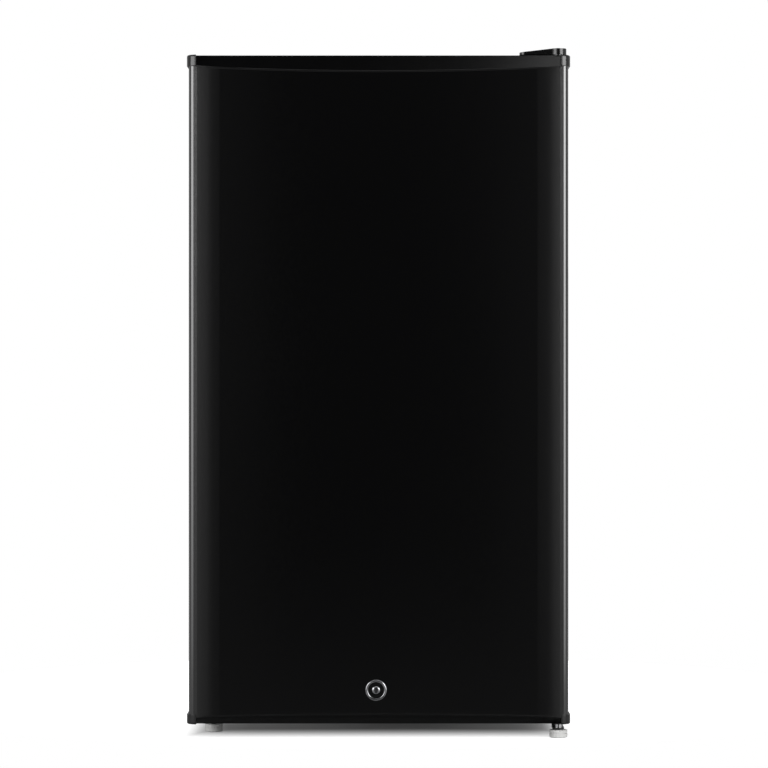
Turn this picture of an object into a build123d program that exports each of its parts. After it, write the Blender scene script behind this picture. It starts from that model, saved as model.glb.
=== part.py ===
from build123d import *
import os

# A free-standing single-door mini fridge. X runs across the front with the hinge side at +X,
# Y runs from the door (-Y) to the condenser (+Y), and Z is up. The origin is on the floor, under
# the middle of the fridge's box. All sizes are millimetres.

# Overall size
WIDTH = 472.0               # across the door's end caps
DEPTH = 450.0               # from the lock's bezel back to the condenser's outer wires
HEIGHT = 850.0              # from the floor to the top of the hinge cover

# Door shell
DOOR_THICKNESS = 46.5       # from the middle of the panel's front to the door's flat back
DOOR_BOTTOM = 18.0          # lower face of the bottom cap, above the floor
DOOR_DROP = 1.5             # the door's top lies this far below the top of the case
DOOR_SHEET = 0.8            # steel of the door panel
CROWN = 9.0                 # how far the front bulges from its edges to its middle
EASE_WIDTH = 24.0           # beside each upright edge the front falls away faster, over this width
EASE_DROP = 3.45            # and by this much of the crown
EASE_ROUND = 300.0          # blend between the wide bow and the eased edges
EDGE_ROUND = 7.0            # rounding of the panel's upright edges
PANEL_RETURN = 14.0         # width of the panel's folded edge at the door's back
CAP_OVERHANG = 2.5          # the end caps stand out this far past the panel's sides
CAP_PROUD = 0.6             # and this far past the panel's front
CAP_PLATE = 3.0             # thickness of the flat part of an end cap
CAP_WALL = 1.8              # thickness of a cap's sloping front
CAP_END = 11.7              # radius of an end cap's upright ends, between which its front slopes
CAP_ROUND = 2.2             # rounding of an end cap's outer rim
CAP_EASE = 0.8              # and of the rim that meets the panel
LIP_ROUND = 0.45            # rounding of the edge that meets the panel
BEVEL_SETBACK = 11.1        # a cap's outer edge lies this far behind the ends of the crowned front
TOP_BEVEL = 11.0            # height of the top cap's sloping front at its ends
BOTTOM_BEVEL = 6.8
TOP_SIDE = 14.2             # height of the top cap's side walls
BOTTOM_SIDE = 12.4

# Door inside: formed white sheet with upright dykes that carry the racks
DOOR_LINER = 1.5            # thickness of the formed sheet
DYKE_SIDE_GAP = 16.0        # outer faces of the side dykes to the liner's walls
DYKE_WIDTH = 22.0
DYKE_DEPTH = 50.0           # how far the side dykes stand out of the door's back
RIDGE_DEPTH = 22.0          # how far the top and bottom ridges stand out
RIDGE_WIDTH = 16.0
DYKE_TOP_GAP = 9.5          # dykes to the liner's ceiling
DYKE_FLOOR_GAP = 10.0       # dykes to the liner's floor
DYKE_ROUND = 6.0

# Grip pocket in the door's free edge
GRIP_HEIGHT = 120.0
GRIP_WIDTH = 21.0
GRIP_DEPTH = 20.0
GRIP_WALL = 2.0
GRIP_CENTRE = 500.0         # height of the middle of the pocket above the floor
GRIP_SETBACK = 4.0          # from the pocket to the door's back

# Magnetic seal
SEAL_GAP = 12.0             # door's back to the front of the case
SEAL_WIDTH = 17.0
SEAL_HINGE_CLEARANCE = 1.0  # the seal stays this far inside the hinge axis, so it lifts off as the door turns
SEAL_FOOT = 2.0             # thickness of the foot strip on the door
SEAL_NECK = 9.0             # width of the neck between foot and head
SEAL_NECK_HEIGHT = 3.5
SEAL_CLEARANCE = 0.3        # head to the case with the door shut
SEAL_CORNER = 8.0
SEAL_INNER_CORNER = 1.0     # least rounding of the seal's inner corners
MAGNET_WIDTH = 10.0
MAGNET_THICKNESS = 3.0

# Case, liner and insulation
CASE_INSET = 4.0            # sides of the case, in from the ends of the door's caps
CASE_SHEET = 0.8
CASE_CORNER = 10.0          # bend between the sides and the top
CASE_EDGE = 2.4             # bend at the front edge of the case
CASE_BOTTOM = 22.0          # lower edge of the sides, above the floor
HINGE_COVER_RISE = 7.5      # top of the case to the top of the hinge cover
CONDENSER_SPACE = 38.0      # back of the case to the condenser's outer wires
WALL = 33.0                 # thickness of the sides and the top
BACK_WALL = 38.0
BASE_HEIGHT = 55.0          # underside of the bottom panel, above the floor
FLOOR_WALL = 53.0           # bottom panel to the liner's floor
LINER = 1.5                 # thickness of the liner's sheet
RIM = 4.0                   # width of the liner's edge that shows round the mouth
LINER_CORNER = 16.0         # corners of the liner seen from the side
LINER_SIDE_ROUND = 12.0     # corners of the liner along its side walls
ALCOVE_DEPTH = 157.0        # compressor space, from the back of the case
ALCOVE_TOP = 215.0
HUMP_WALL = 35.0            # insulation over and before the compressor space
RAIL_SHEET = 1.5            # steel of the front rail and the compressor deck
RAIL_FLANGE = 62.0          # depth of the front rail's lower flange

# Shelves and their ribs
SHELF_STEP_GAP = 12.0       # liner's step to the lowest level
SHELF_PITCH = 94.0
SHELF_COUNT = 4             # levels
LOWER_SHELF = 0             # which level carries the lower shelf
UPPER_SHELF = 2
RIB_OUT = 10.0              # how far a rib stands out of the liner's wall
RIB_HEIGHT = 8.0
RIB_FRONT = 40.0            # front end of the ribs, behind the front of the case
RIB_ROUND = 2.0
SHELF_CLEARANCE = 3.0       # shelf trims to the liner's walls
SHELF_FRONT = 97.0          # front of a shelf, behind the front of the case
SHELF_BACK_GAP = 12.0       # rear of a shelf to the liner's back
TRIM_DEPTH = 16.0
TRIM_HEIGHT = 10.0
TRIM_GRIP = 10.0            # how far the glass goes into a trim
TRIM_ROUND = 2.5
SHELF_STOP = 14.0           # height of the rear trim's back stop above the trim
SHELF_STOP_THICKNESS = 3.0
GLASS = 4.0
GLASS_INSET = 1.0           # ends of the glass to the ends of the trims

# Chiller box, its frame, flap and drip tray
CHILLER_LEFT_GAP = 49.0     # liner's left wall to the chiller
CHILLER_DIAL_GAP = 21.0     # chiller to the thermostat's housing
CHILLER_BACK_GAP = 19.0     # chiller to the liner's back
CHILLER_HEIGHT = 100.0
CHILLER_HANG = 22.0         # ceiling to the top of the chiller
CHILLER_FRONT = 110.0       # front edge of the chiller sheet, behind the front of the case
CHILLER_SHEET = 1.6
CHILLER_CORNER = 12.0
HANGER_RADIUS = 7.0
HANGER_INSET = 22.0         # hangers to the edges of the chiller
FRAME_THICKNESS = 10.0
FRAME_BORDER = 5.0          # frame outside the chiller sheet
FRAME_COVER = 8.0           # frame inside the chiller sheet
FRAME_CORNER = 6.0
FLAP_THICKNESS = 3.0
FLAP_GAP = 0.6              # flap barrel to the frame
FLAP_BARREL = 3.5           # radius of the flap's hinge barrel
FLAP_OVERLAP = 4.0          # flap past the frame's opening
FLAP_PIN = 1.5              # radius of the flap's pins
FLAP_EAR = 3.0              # thickness of the frame's hinge ears
FLAP_PULL = 60.0            # width of the flap's finger pull
FLAP_PULL_OUT = 7.0
FLAP_PULL_HEIGHT = 5.0
FLAP_PULL_ROUND = 2.0
PIN_CLEARANCE = 0.05        # running clearance on every pin, all round
TRAY_GAP = 10.0             # chiller to the top of the drip tray
TRAY_HEIGHT = 20.0
TRAY_WALL = 2.0
TRAY_SIDE_GAP = 1.0
TRAY_LIP = 10.0             # pull lip at the tray's front
TRAY_CORNER = 6.0
RAIL_WEB = 3.0              # tray rails
RAIL_LEDGE = 11.0
RAIL_LEDGE_THICKNESS = 3.0

# Thermostat
DIAL_HOUSING_WIDTH = 68.0   # from the liner's right wall
DIAL_HOUSING_DEPTH = 80.0
DIAL_HOUSING_HEIGHT = 92.0
DIAL_HOUSING_FRONT = 135.0  # behind the front of the case
DIAL_HOUSING_DROP = 14.0    # ceiling to the housing's top
DIAL_HOUSING_WALL = 2.0
DIAL_HOUSING_ROUND = 9.0
KNOB_RADIUS = 18.0
KNOB_DEPTH = 14.0
KNOB_GAP = 0.5              # knob to the housing
KNOB_SKIRT = 7.0            # thickness of the knob's round part
KNOB_ROUND = 1.5
KNOB_GRIP = 5.0             # thickness of the knob's finger bar
KNOB_SHAFT = 3.0
KNOB_SHAFT_REACH = 12.0     # how far the shaft goes into the switch
SWITCH_SIZE = 30.0
SWITCH_DEPTH = 24.0
SENSOR_TUBE = 1.0           # radius of the sensing tube
SENSOR_BEND = 8.0
SENSOR_GAP = 0.2            # tube to the chiller's side
SENSOR_RUN = 62.0           # length of the tube along the chiller's side

# Door racks
RACK_RIDGE_GAP = 4.0        # lower ridge to the underside of the lower rack
RACK_RISES = (0.0, 207.0, 410.0)        # underside of the lower, middle and upper rack, above the lower one's
RACK_HEIGHTS = (80.0, 58.0, 58.0)
RACK_NAMES = ("lower_rack", "middle_rack", "upper_rack")
RACK_DEPTH = 86.0
RACK_BACK_GAP = 1.0         # rack to the door's inner face
RACK_SIDE_GAP = 6.0         # rack's end walls to the dykes
RACK_WALL = 2.5
RACK_ROUND = 8.0
RACK_BACK_HEIGHT = 18.0     # low wall at the rack's back
LUG_OUT = 5.0
LUG_WIDTH = 14.0
LUG_HEIGHT = 30.0
LUG_BASE = 10.0             # lower end of a lug above the rack's underside
LUG_SETBACK = 17.0          # lug to the door's back
CHANNEL_WALL = 3.0
CHANNEL_CLEARANCE = 0.4
CHANNEL_SIDE_GAP = 0.5      # channel to the dyke

# Hinges
HINGE_INSET = 14.0          # hinge axis to the end of the caps
HINGE_SETBACK = 31.0        # hinge axis behind the front of the lock's bezel
HINGE_PIN = 4.0             # radius
PIN_REACH = 16.0            # how far a pin goes into the door
BUSH_RADIUS = 6.0
BUSH_DEPTH = 18.0
BUSH_FLANGE = 8.0           # radius
BUSH_FLANGE_THICKNESS = 1.2
BOSS_RADIUS = 9.0
BOSS_FLOOR = 2.0            # closed end of the boss past its bush
HINGE_PLATE = 2.5           # thickness of both hinge plates
PLATE_NOSE = 7.0            # radius of the plates' ends round the pins
TOP_PLATE_WIDTH = 34.0
TOP_PLATE_BACK = 75.0       # rear end of the upper plate, behind the front of the case
TOP_PLATE_STEP = 6.0        # where the upper plate widens, behind the front of the case
BRACKET_GAP = 5.5           # lower bracket to the bottom cap
PIN_COLLAR = 5.0            # radius of the lower pin's collar, which carries the door
COLLAR_GAP = 0.3            # collar to the bush's flange
BRACKET_WIDTH = 40.0
BRACKET_TOP = 60.0          # upper edge of the lower bracket's upright part
SCREW_RADIUS = 2.0
SCREW_HEAD = 4.2            # radius of a screw's head
SCREW_HEAD_HEIGHT = 1.8
SCREW_LENGTH = 8.0          # shank under the head
SCREW_INSET = 11.0          # screws to the edges of the plates they hold
COVER_WIDTH = 58.0
COVER_TAIL = 9.0            # hinge cover past the rear end of the upper plate
COVER_GAP = 0.5             # cover to the upper hinge plate
COVER_LOW_RISE = 2.8        # height of the cover's inner end over the case
COVER_FLAT = 17.0           # level stretch of the cover's top at its outer end
COVER_WALL = 1.4
COVER_ROUND = 7.0
COVER_STEP = 4.0            # the cover's round nose over the pin stands out this far in front
COVER_TOP_ROUND = 1.6

# Feet
FOOT_RADIUS = 11.0
FOOT_HEIGHT = 9.6
FOOT_FLOOR = 3.0            # solid bottom of a front foot
FOOT_STUD = 3.0             # radius of the studs that the front feet turn on
FOOT_STUD_GAP = 0.5         # stud's end to the bottom of its hole
FOOT_ROUND = 1.5
FOOT_GROOVE = 5.2           # groove round a front foot, above the floor
FOOT_WAIST = 1.0            # height and depth of that groove
LEFT_FOOT_INSET = 25.0      # left front foot to the case's side
LEFT_FOOT_SETBACK = 42.0    # left front foot behind the front of the case
STUD_HEAD = 6.0             # radius of the left stud's head
STUD_HEAD_HEIGHT = 4.0
REAR_FOOT_RADIUS = 13.0
REAR_FOOT_INSET = 40.0      # rear feet to the case's sides and back

# Lock
LOCK_X = -3.0
LOCK_SEAL_GAP = 3.2         # lock nut to the seal above it
BEZEL_RADIUS = 13.0
BEZEL_BORE = 9.8
BEZEL_PROUD = 1.5           # bezel in front of the panel
BEZEL_ROUND = 0.7
BARREL_RADIUS = 9.0
BARREL_RECESS = 1.0         # face of the barrel behind the face of the bezel
PLUG_RADIUS = 5.6
PLUG_PROUD = 0.6            # plug in front of the barrel's face
KEY_SLOT_WIDTH = 1.3
KEY_SLOT_HEIGHT = 7.0
KEY_SLOT_DEPTH = 9.0
LOCK_NUT = 12.0             # radius to the corners
LOCK_NUT_HEIGHT = 3.0
CAM_GAP = 1.5               # nut to cam
CAM_THICKNESS = 2.0
CAM_LENGTH = 24.0
CAM_WIDTH = 10.0
CAM_HUB = 7.6               # radius of the cam round the plug's end
KEEPER_WIDTH = 36.0
KEEPER_SHEET = 1.5
KEEPER_GAP = 1.5            # keeper's tab to the door's back
KEEPER_DROP = 15.0          # upper edge of the keeper below the lock's axis
KEEPER_HEIGHT = 20.0

# Cooling unit
COMPRESSOR_X = 30.0
COMPRESSOR_SETBACK = 75.0   # compressor's middle, in front of the back of the case
COMPRESSOR_LONG = 82.0      # half length across the fridge
COMPRESSOR_SHORT = 60.0     # half length front to back
COMPRESSOR_HEIGHT = 148.0
COMPRESSOR_DOME = 38.0      # rounding of the shell's top
COMPRESSOR_BELLY = 20.0     # rounding of the shell's bottom
SEAM_OUT = 3.0              # welded seam past the shell
SEAM_HEIGHT = 5.0
SEAM_LEVEL = 84.0           # seam above the shell's bottom
FOOT_PLATE = 3.0
FOOT_PLATE_LONG = 92.0      # half length of the compressor's foot plate
FOOT_PLATE_SHORT = 58.0
GROMMET_INSET = 13.0
GROMMET_RADIUS = 10.0
GROMMET_HEIGHT = 12.0
GROMMET_NECK = 7.0
GROMMET_CAP = 3.5
BOLT_RADIUS = 3.0
BOLT_HEAD = 6.0
BOLT_HEAD_HEIGHT = 4.0
STUB_RADIUS = 4.2
STUB_LENGTH = 14.0
STUB_SPREAD = 14.0          # stubs to the compressor's middle, front and back
SUCTION_RISE = 25.0         # suction stub above the welded seam
DISCHARGE_DROP = 20.0       # discharge stub below the welded seam
RELAY_WIDTH = 34.0          # relay cover past the shell's end
RELAY_DEPTH = 56.0
RELAY_HEIGHT = 72.0
RELAY_BASE = 70.0           # relay cover above the deck
RELAY_ROUND = 5.0
RELAY_CLEARANCE = 0.3
TUBE_RADIUS = 2.4
SUCTION_RADIUS = 3.2
CAPILLARY_RADIUS = 1.0
TUBE_BEND = 14.0
CONDENSER_INSET = 42.0      # ends of the condenser's passes to the case's sides
CONDENSER_PITCH = 47.0
CONDENSER_BEND = 21.0       # radius of the bends between two passes, under half the pitch
CONDENSER_TOP_GAP = 45.0    # top pass below the top of the case
CONDENSER_LOW_GAP = 40.0    # least height of the bottom pass over the compressor space
WIRE_RADIUS = 0.8
WIRE_PITCH = 20.0
WIRE_MARGIN = 26.0          # least distance of the wires to the passes' ends
WIRE_OVERRUN = 12.0         # wires past the top and bottom passes
WIRE_GAP = 0.05             # weld gap between wire and tube
RISER_INSET = 24.0          # riser to the case's side
LIQUID_LINE_INSET = 102.0   # liquid line to the case's side
CLIP_INSET = 40.0           # condenser clips to the passes' ends
CLIP_WIDTH = 11.0
CLIP_HEIGHT = 18.0
CLIP_TAB = 13.0             # screw tab below a clip's post
CLIP_GAP = 0.1              # clip to the tube it holds
DRIER_RADIUS = 9.0
DRIER_LENGTH = 70.0
DRIER_TAPER = 12.0
DRIER_SETBACK = 37.0        # drier in front of the back of the case
DRIER_DROP = 35.0           # alcove's top to the drier's top
CAPILLARY_INSET = 64.0      # capillary and suction tubes to the case's side, where they go in
SUCTION_INSET = 92.0
LINE_SETBACK = 95.0         # where both lines enter the insulation, in front of the back of the case
GROMMET_LIP = 9.0           # radius of the line grommets
GROMMET_NECK_RADIUS = 7.0   # radius of the holes they sit in
LINE_GROMMET_LIP = 2.5      # thickness of the line grommets' lips
SUCTION_STRAIGHT = 10.0     # upright end of the suction tube
DECK_FLANGE = 30.0          # upright rear edge of the compressor deck
GLAND_INSET = 52.0          # gland to the case's side
GLAND_RADIUS = 9.0
GLAND_NECK = 7.0
GLAND_BORE = 3.5
GLAND_LENGTH = 9.0
GLAND_LIP = 3.0             # thickness of the gland inside the deck's edge
GLAND_HEIGHT = 14.0         # gland's middle above the deck

# Planes worked out from the sizes above
FRONT = -DEPTH / 2
REAR = DEPTH / 2
PANEL_FRONT = FRONT + BEZEL_PROUD
DOOR_BACK = PANEL_FRONT + DOOR_THICKNESS
PANEL_HALF = WIDTH / 2 - CAP_OVERHANG
SHOULDER = PANEL_FRONT + CROWN
CAP_EDGE = SHOULDER + BEVEL_SETBACK
CASE_FRONT = DOOR_BACK + SEAL_GAP
CASE_BACK = REAR - CONDENSER_SPACE
CASE_TOP = HEIGHT - HINGE_COVER_RISE
DOOR_TOP = CASE_TOP - DOOR_DROP
CASE_HALF = WIDTH / 2 - CASE_INSET
CASE_IN = CASE_HALF - CASE_SHEET
CASE_RETURN = WALL - RIM
MOUTH_HALF = CASE_HALF - CASE_RETURN
LINER_HALF = CASE_HALF - WALL
LINER_BACK = CASE_BACK - BACK_WALL
CEILING = CASE_TOP - WALL
FLOOR = BASE_HEIGHT + FLOOR_WALL
RAIL_TOP = FLOOR - RIM
DYKE_HALF = LINER_HALF - DYKE_SIDE_GAP
DYKE_TOP = CEILING - DYKE_TOP_GAP
DYKE_BOTTOM = FLOOR + DYKE_FLOOR_GAP
RAIL_BACK = CASE_FRONT + CASE_SHEET + RAIL_SHEET
ALCOVE_FRONT = CASE_BACK - ALCOVE_DEPTH
HUMP_FRONT = ALCOVE_FRONT - HUMP_WALL
HUMP_TOP = ALCOVE_TOP + HUMP_WALL
HINGE_X = WIDTH / 2 - HINGE_INSET
HINGE_Y = FRONT + HINGE_SETBACK
PLATE_RIGHT = CASE_HALF - COVER_WALL - COVER_GAP
COVER_NOSE = CASE_HALF - HINGE_X
COVER_FRONT = HINGE_Y - COVER_NOSE
COVER_REAR = CASE_FRONT + TOP_PLATE_BACK + COVER_TAIL
SEAL_HALF = HINGE_X - SEAL_HINGE_CLEARANCE
SEAL_MARGIN = CASE_HALF - SEAL_HALF
SEAL_TOP = CASE_TOP - SEAL_MARGIN
SEAL_BOTTOM = RAIL_TOP - SEAL_MARGIN - SEAL_WIDTH
LOCK_HEIGHT = SEAL_BOTTOM - LOCK_SEAL_GAP - LOCK_NUT
KEEPER_TOP = LOCK_HEIGHT - KEEPER_DROP
KEEPER_BASE = KEEPER_TOP - KEEPER_HEIGHT
SHELF_LEVELS = [HUMP_TOP + SHELF_STEP_GAP + number * SHELF_PITCH for number in range(SHELF_COUNT)]
SHELF_Y = CASE_FRONT + SHELF_FRONT
SHELF_BACK = LINER_BACK - SHELF_BACK_GAP
CHILLER_TOP = CEILING - CHILLER_HANG
CHILLER_BOTTOM = CHILLER_TOP - CHILLER_HEIGHT
CHILLER_Y = CASE_FRONT + CHILLER_FRONT
CHILLER_BACK = LINER_BACK - CHILLER_BACK_GAP
DIAL_LEFT = LINER_HALF - DIAL_HOUSING_WIDTH
CHILLER_LEFT = -LINER_HALF + CHILLER_LEFT_GAP
CHILLER_RIGHT = DIAL_LEFT - CHILLER_DIAL_GAP
CHILLER_CENTRE = (CHILLER_LEFT + CHILLER_RIGHT) / 2
CHILLER_WIDTH = CHILLER_RIGHT - CHILLER_LEFT
FRAME_FRONT = CHILLER_Y - FRAME_THICKNESS
OPENING_HALF = CHILLER_WIDTH / 2 - FRAME_COVER
OPENING_TOP = CHILLER_TOP - FRAME_COVER
OPENING_BOTTOM = CHILLER_BOTTOM + FRAME_COVER
FLAP_HALF = OPENING_HALF + FLAP_OVERLAP
FLAP_AXIS_Y = FRAME_FRONT - FLAP_BARREL - FLAP_GAP
FLAP_AXIS_Z = OPENING_TOP + FLAP_OVERLAP - FLAP_BARREL
TRAY_TOP = CHILLER_BOTTOM - TRAY_GAP
TRAY_BOTTOM = TRAY_TOP - TRAY_HEIGHT
TRAY_HALF = CHILLER_WIDTH / 2 - RAIL_WEB - TRAY_SIDE_GAP
DIAL_FRONT = CASE_FRONT + DIAL_HOUSING_FRONT
DIAL_TOP = CEILING - DIAL_HOUSING_DROP
DIAL_BOTTOM = DIAL_TOP - DIAL_HOUSING_HEIGHT
KNOB_X = LINER_HALF - DIAL_HOUSING_WIDTH / 2
KNOB_Z = (DIAL_TOP + DIAL_BOTTOM) / 2
SHAFT_END = DIAL_FRONT + DIAL_HOUSING_WALL + KNOB_SHAFT_REACH
RACK_BASES = [DYKE_BOTTOM + RIDGE_WIDTH + RACK_RIDGE_GAP + rise for rise in RACK_RISES]
RACK_HALF = DYKE_HALF - DYKE_WIDTH - RACK_SIDE_GAP
RACK_OUTER = DOOR_BACK + RACK_BACK_GAP
RACK_INNER = RACK_OUTER + RACK_DEPTH
BRACKET_PLATE_TOP = DOOR_BOTTOM - BRACKET_GAP
BRACKET_PLATE_BOTTOM = BRACKET_PLATE_TOP - HINGE_PLATE
LEFT_FOOT_X = -CASE_HALF + LEFT_FOOT_INSET
LEFT_FOOT_Y = CASE_FRONT + LEFT_FOOT_SETBACK
STUD_END = FOOT_FLOOR + FOOT_STUD_GAP
DECK_TOP = CASE_BOTTOM + RAIL_SHEET
BARREL_FACE = FRONT + BARREL_RECESS
NUT_BACK = DOOR_BACK + LOCK_NUT_HEIGHT
CAM_FRONT = NUT_BACK + CAM_GAP
CAM_BACK = CAM_FRONT + CAM_THICKNESS
COMPRESSOR_Y = CASE_BACK - COMPRESSOR_SETBACK
FOOT_PLATE_BOTTOM = DECK_TOP + GROMMET_HEIGHT
FOOT_PLATE_TOP = FOOT_PLATE_BOTTOM + FOOT_PLATE
SHELL_BOTTOM = FOOT_PLATE_BOTTOM + FOOT_PLATE / 2
SHELL_TOP = SHELL_BOTTOM + COMPRESSOR_HEIGHT
STUB_X = COMPRESSOR_X - COMPRESSOR_LONG - STUB_LENGTH / 2
SUCTION_LEVEL = SHELL_BOTTOM + SEAM_LEVEL + SUCTION_RISE
DISCHARGE_LEVEL = SHELL_BOTTOM + SEAM_LEVEL - DISCHARGE_DROP
RISER_X = -CASE_HALF + RISER_INSET
LIQUID_LINE_X = -CASE_HALF + LIQUID_LINE_INSET
CAPILLARY_X = -CASE_HALF + CAPILLARY_INSET
SUCTION_X = -CASE_HALF + SUCTION_INSET
GLAND_X = CASE_HALF - GLAND_INSET
CONDENSER_HALF = CASE_HALF - CONDENSER_INSET
CLIP_X = CONDENSER_HALF - CLIP_INSET
WIRE_COUNT = 1 + 2 * int((CONDENSER_HALF - WIRE_MARGIN) / WIRE_PITCH)
CONDENSER_TOP = CASE_TOP - CONDENSER_TOP_GAP
CONDENSER_ROOM = CONDENSER_TOP - ALCOVE_TOP - CONDENSER_LOW_GAP
CONDENSER_PASSES = 2 * int((CONDENSER_ROOM / CONDENSER_PITCH + 1) / 2)
CONDENSER_BOTTOM = CONDENSER_TOP - (CONDENSER_PASSES - 1) * CONDENSER_PITCH
CONDENSER_Y = REAR - 2 * WIRE_RADIUS - WIRE_GAP - TUBE_RADIUS
DRIER_TOP = ALCOVE_TOP - DRIER_DROP
DRIER_Y = CASE_BACK - DRIER_SETBACK
LINE_Y = CASE_BACK - LINE_SETBACK
OVERCUT = 2.0               # how far a cutting shape runs past what it cuts
SIDES = (-1, 1)


# Building blocks

def span(a, b):
    """Two limits in rising order."""
    return (min(a, b), max(a, b))


def block(x, y, z):
    """A box from its limits along each axis."""
    limits = (x, y, z)
    sizes = [high - low for low, high in limits]
    middle = [(high + low) / 2 for low, high in limits]
    return Pos(*middle) * Box(*sizes)


def rod(start, end, radius):
    """A round bar from one point to another."""
    run = Vector(*end) - Vector(*start)
    bar = Cylinder(radius, run.length, align=(Align.CENTER, Align.CENTER, Align.MIN))
    return Plane(origin=start, z_dir=run) * bar


def post(x, y, z, radius):
    """An upright round bar between two heights."""
    return rod((x, y, z[0]), (x, y, z[1]), radius)


def plate(outline, y):
    """An outline drawn in front view as (x, z), made solid between two limits along Y."""
    back = Plane((0, y[1], 0), x_dir=(1, 0, 0), z_dir=(0, -1, 0))
    return extrude(back * outline, y[1] - y[0])


def slab(outline, z):
    """An outline drawn in plan as (x, y), made solid between two heights."""
    return extrude(Plane((0, 0, z[0])) * outline, z[1] - z[0])


def rounded(x, z, radius):
    """A rectangle with round corners, from its limits in front view."""
    middle = Pos((x[0] + x[1]) / 2, (z[0] + z[1]) / 2)
    return middle * RectangleRounded(x[1] - x[0], z[1] - z[0], radius)


def pipe(points, radius, bends):
    """A round tube along straight runs joined by arcs."""
    path = FilletPolyline(*points, radius=bends)
    section = Plane(origin=path @ 0, z_dir=path % 0) * Circle(radius)
    return sweep(section, path)


def screw(tip, head):
    """A pan-head screw whose head stands on the point head, with its shank towards tip."""
    away = (Vector(*head) - Vector(*tip)).normalized()
    top = Vector(*head) + away * SCREW_HEAD_HEIGHT
    crown = rod(head, top, SCREW_HEAD)
    rim = crown.edges().filter_by(GeomType.CIRCLE)
    far = max(rim, key=lambda edge: (edge.center() - Vector(*tip)).length)
    return fillet(far, SCREW_HEAD_HEIGHT / 2) + rod(tip, head, SCREW_RADIUS)


# Case

def case_form(inset):
    """The case's outer form, drawn in from its sides, top and front by a thickness."""
    form = block(
        (-CASE_HALF + inset, CASE_HALF - inset),
        (CASE_FRONT + inset, CASE_BACK),
        (CASE_BOTTOM, CASE_TOP - inset),
    )
    form = fillet(form.edges().filter_by(Axis.Y).group_by(Axis.Z)[-1], CASE_CORNER - inset)
    front_edges = form.faces().sort_by(Axis.Y)[0].edges().sort_by(Axis.Z)[1:]
    return fillet(front_edges, CASE_EDGE - inset)


def outer_case():
    """Steel sheet bent round the two sides and the top, with its front edges folded inwards."""
    mouth = block(
        (-MOUTH_HALF, MOUTH_HALF),
        (CASE_FRONT - OVERCUT, CASE_FRONT + CASE_SHEET + OVERCUT),
        (CASE_BOTTOM - OVERCUT, CASE_TOP - CASE_RETURN),
    )
    shell = case_form(0) - case_form(CASE_SHEET) - mouth
    return shell - top_screw_shanks() - bracket_screw_shanks()


def back_panel():
    """Flat steel sheet across the back, above the compressor space."""
    sheet = block((-CASE_IN, CASE_IN), (CASE_BACK - CASE_SHEET, CASE_BACK), (ALCOVE_TOP, CASE_TOP))
    return (case_form(CASE_SHEET) & sheet) - clip_screw_shanks()


def base_panel():
    """Bent steel sheet: under the insulation, up the front of the compressor space and back over it."""
    under = block((-CASE_IN, CASE_IN), (RAIL_BACK, ALCOVE_FRONT), (BASE_HEIGHT, BASE_HEIGHT + CASE_SHEET))
    upright = block((-CASE_IN, CASE_IN), (ALCOVE_FRONT, ALCOVE_FRONT + CASE_SHEET), (BASE_HEIGHT, ALCOVE_TOP))
    top = block((-CASE_IN, CASE_IN), (ALCOVE_FRONT, CASE_BACK), (ALCOVE_TOP - CASE_SHEET, ALCOVE_TOP))
    holes = [
        rod((x, LINE_Y, ALCOVE_TOP - OVERCUT), (x, LINE_Y, ALCOVE_TOP + OVERCUT), GROMMET_NECK_RADIUS)
        for x in (CAPILLARY_X, SUCTION_X)
    ]
    return under + upright + top - holes


def front_rail():
    """Steel cross rail below the mouth, let in behind the case's folded edges, with a flange at its foot."""
    face = block((-MOUTH_HALF, MOUTH_HALF), (CASE_FRONT, CASE_FRONT + CASE_SHEET), (CASE_BOTTOM, RAIL_TOP))
    ends = block((-CASE_IN, CASE_IN), (CASE_FRONT + CASE_SHEET, RAIL_BACK), (CASE_BOTTOM, RAIL_TOP))
    flange = block(
        (-CASE_IN, CASE_IN),
        (CASE_FRONT + CASE_SHEET, CASE_FRONT + RAIL_FLANGE),
        (CASE_BOTTOM, CASE_BOTTOM + RAIL_SHEET),
    )
    stud_hole = rod(
        (LEFT_FOOT_X, LEFT_FOOT_Y, CASE_BOTTOM - OVERCUT),
        (LEFT_FOOT_X, LEFT_FOOT_Y, DECK_TOP + OVERCUT),
        FOOT_STUD,
    )
    inside = case_form(CASE_SHEET)
    return face + ((ends + flange) & inside) - stud_hole - bracket_screw_shanks()


def cavity(grow):
    """The room inside the liner with the step over the compressor space, grown by a wall."""
    floor = FLOOR - grow
    step_front = HUMP_FRONT + grow
    step_top = HUMP_TOP - grow
    back = LINER_BACK + grow
    ceiling = CEILING + grow
    outer = LINER_CORNER + grow
    inner = LINER_CORNER - grow
    side = FilletPolyline(
        (CASE_FRONT, floor),
        (step_front, floor),
        (step_front, step_top),
        (back, step_top),
        (back, ceiling),
        (CASE_FRONT, ceiling),
        radius=[outer, inner, outer, outer],
    )
    outline = make_face([*side.edges(), Line(side @ 1, side @ 0)])
    room = extrude(Plane.YZ * outline, LINER_HALF + grow, both=True)
    walls = room.faces().sort_by(Axis.X)
    corners = [
        edge
        for wall in (walls[0], walls[-1])
        for edge in wall.edges()
        if edge.center().Y > CASE_FRONT + LINER
    ]
    return fillet(corners, LINER_SIDE_ROUND + grow)


def liner_rim():
    """The liner's edge that shows round the mouth, between the case's folded edges."""
    return block(
        (-MOUTH_HALF, MOUTH_HALF),
        (CASE_FRONT, CASE_FRONT + LINER),
        (RAIL_TOP, CASE_TOP - CASE_RETURN),
    )


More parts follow.
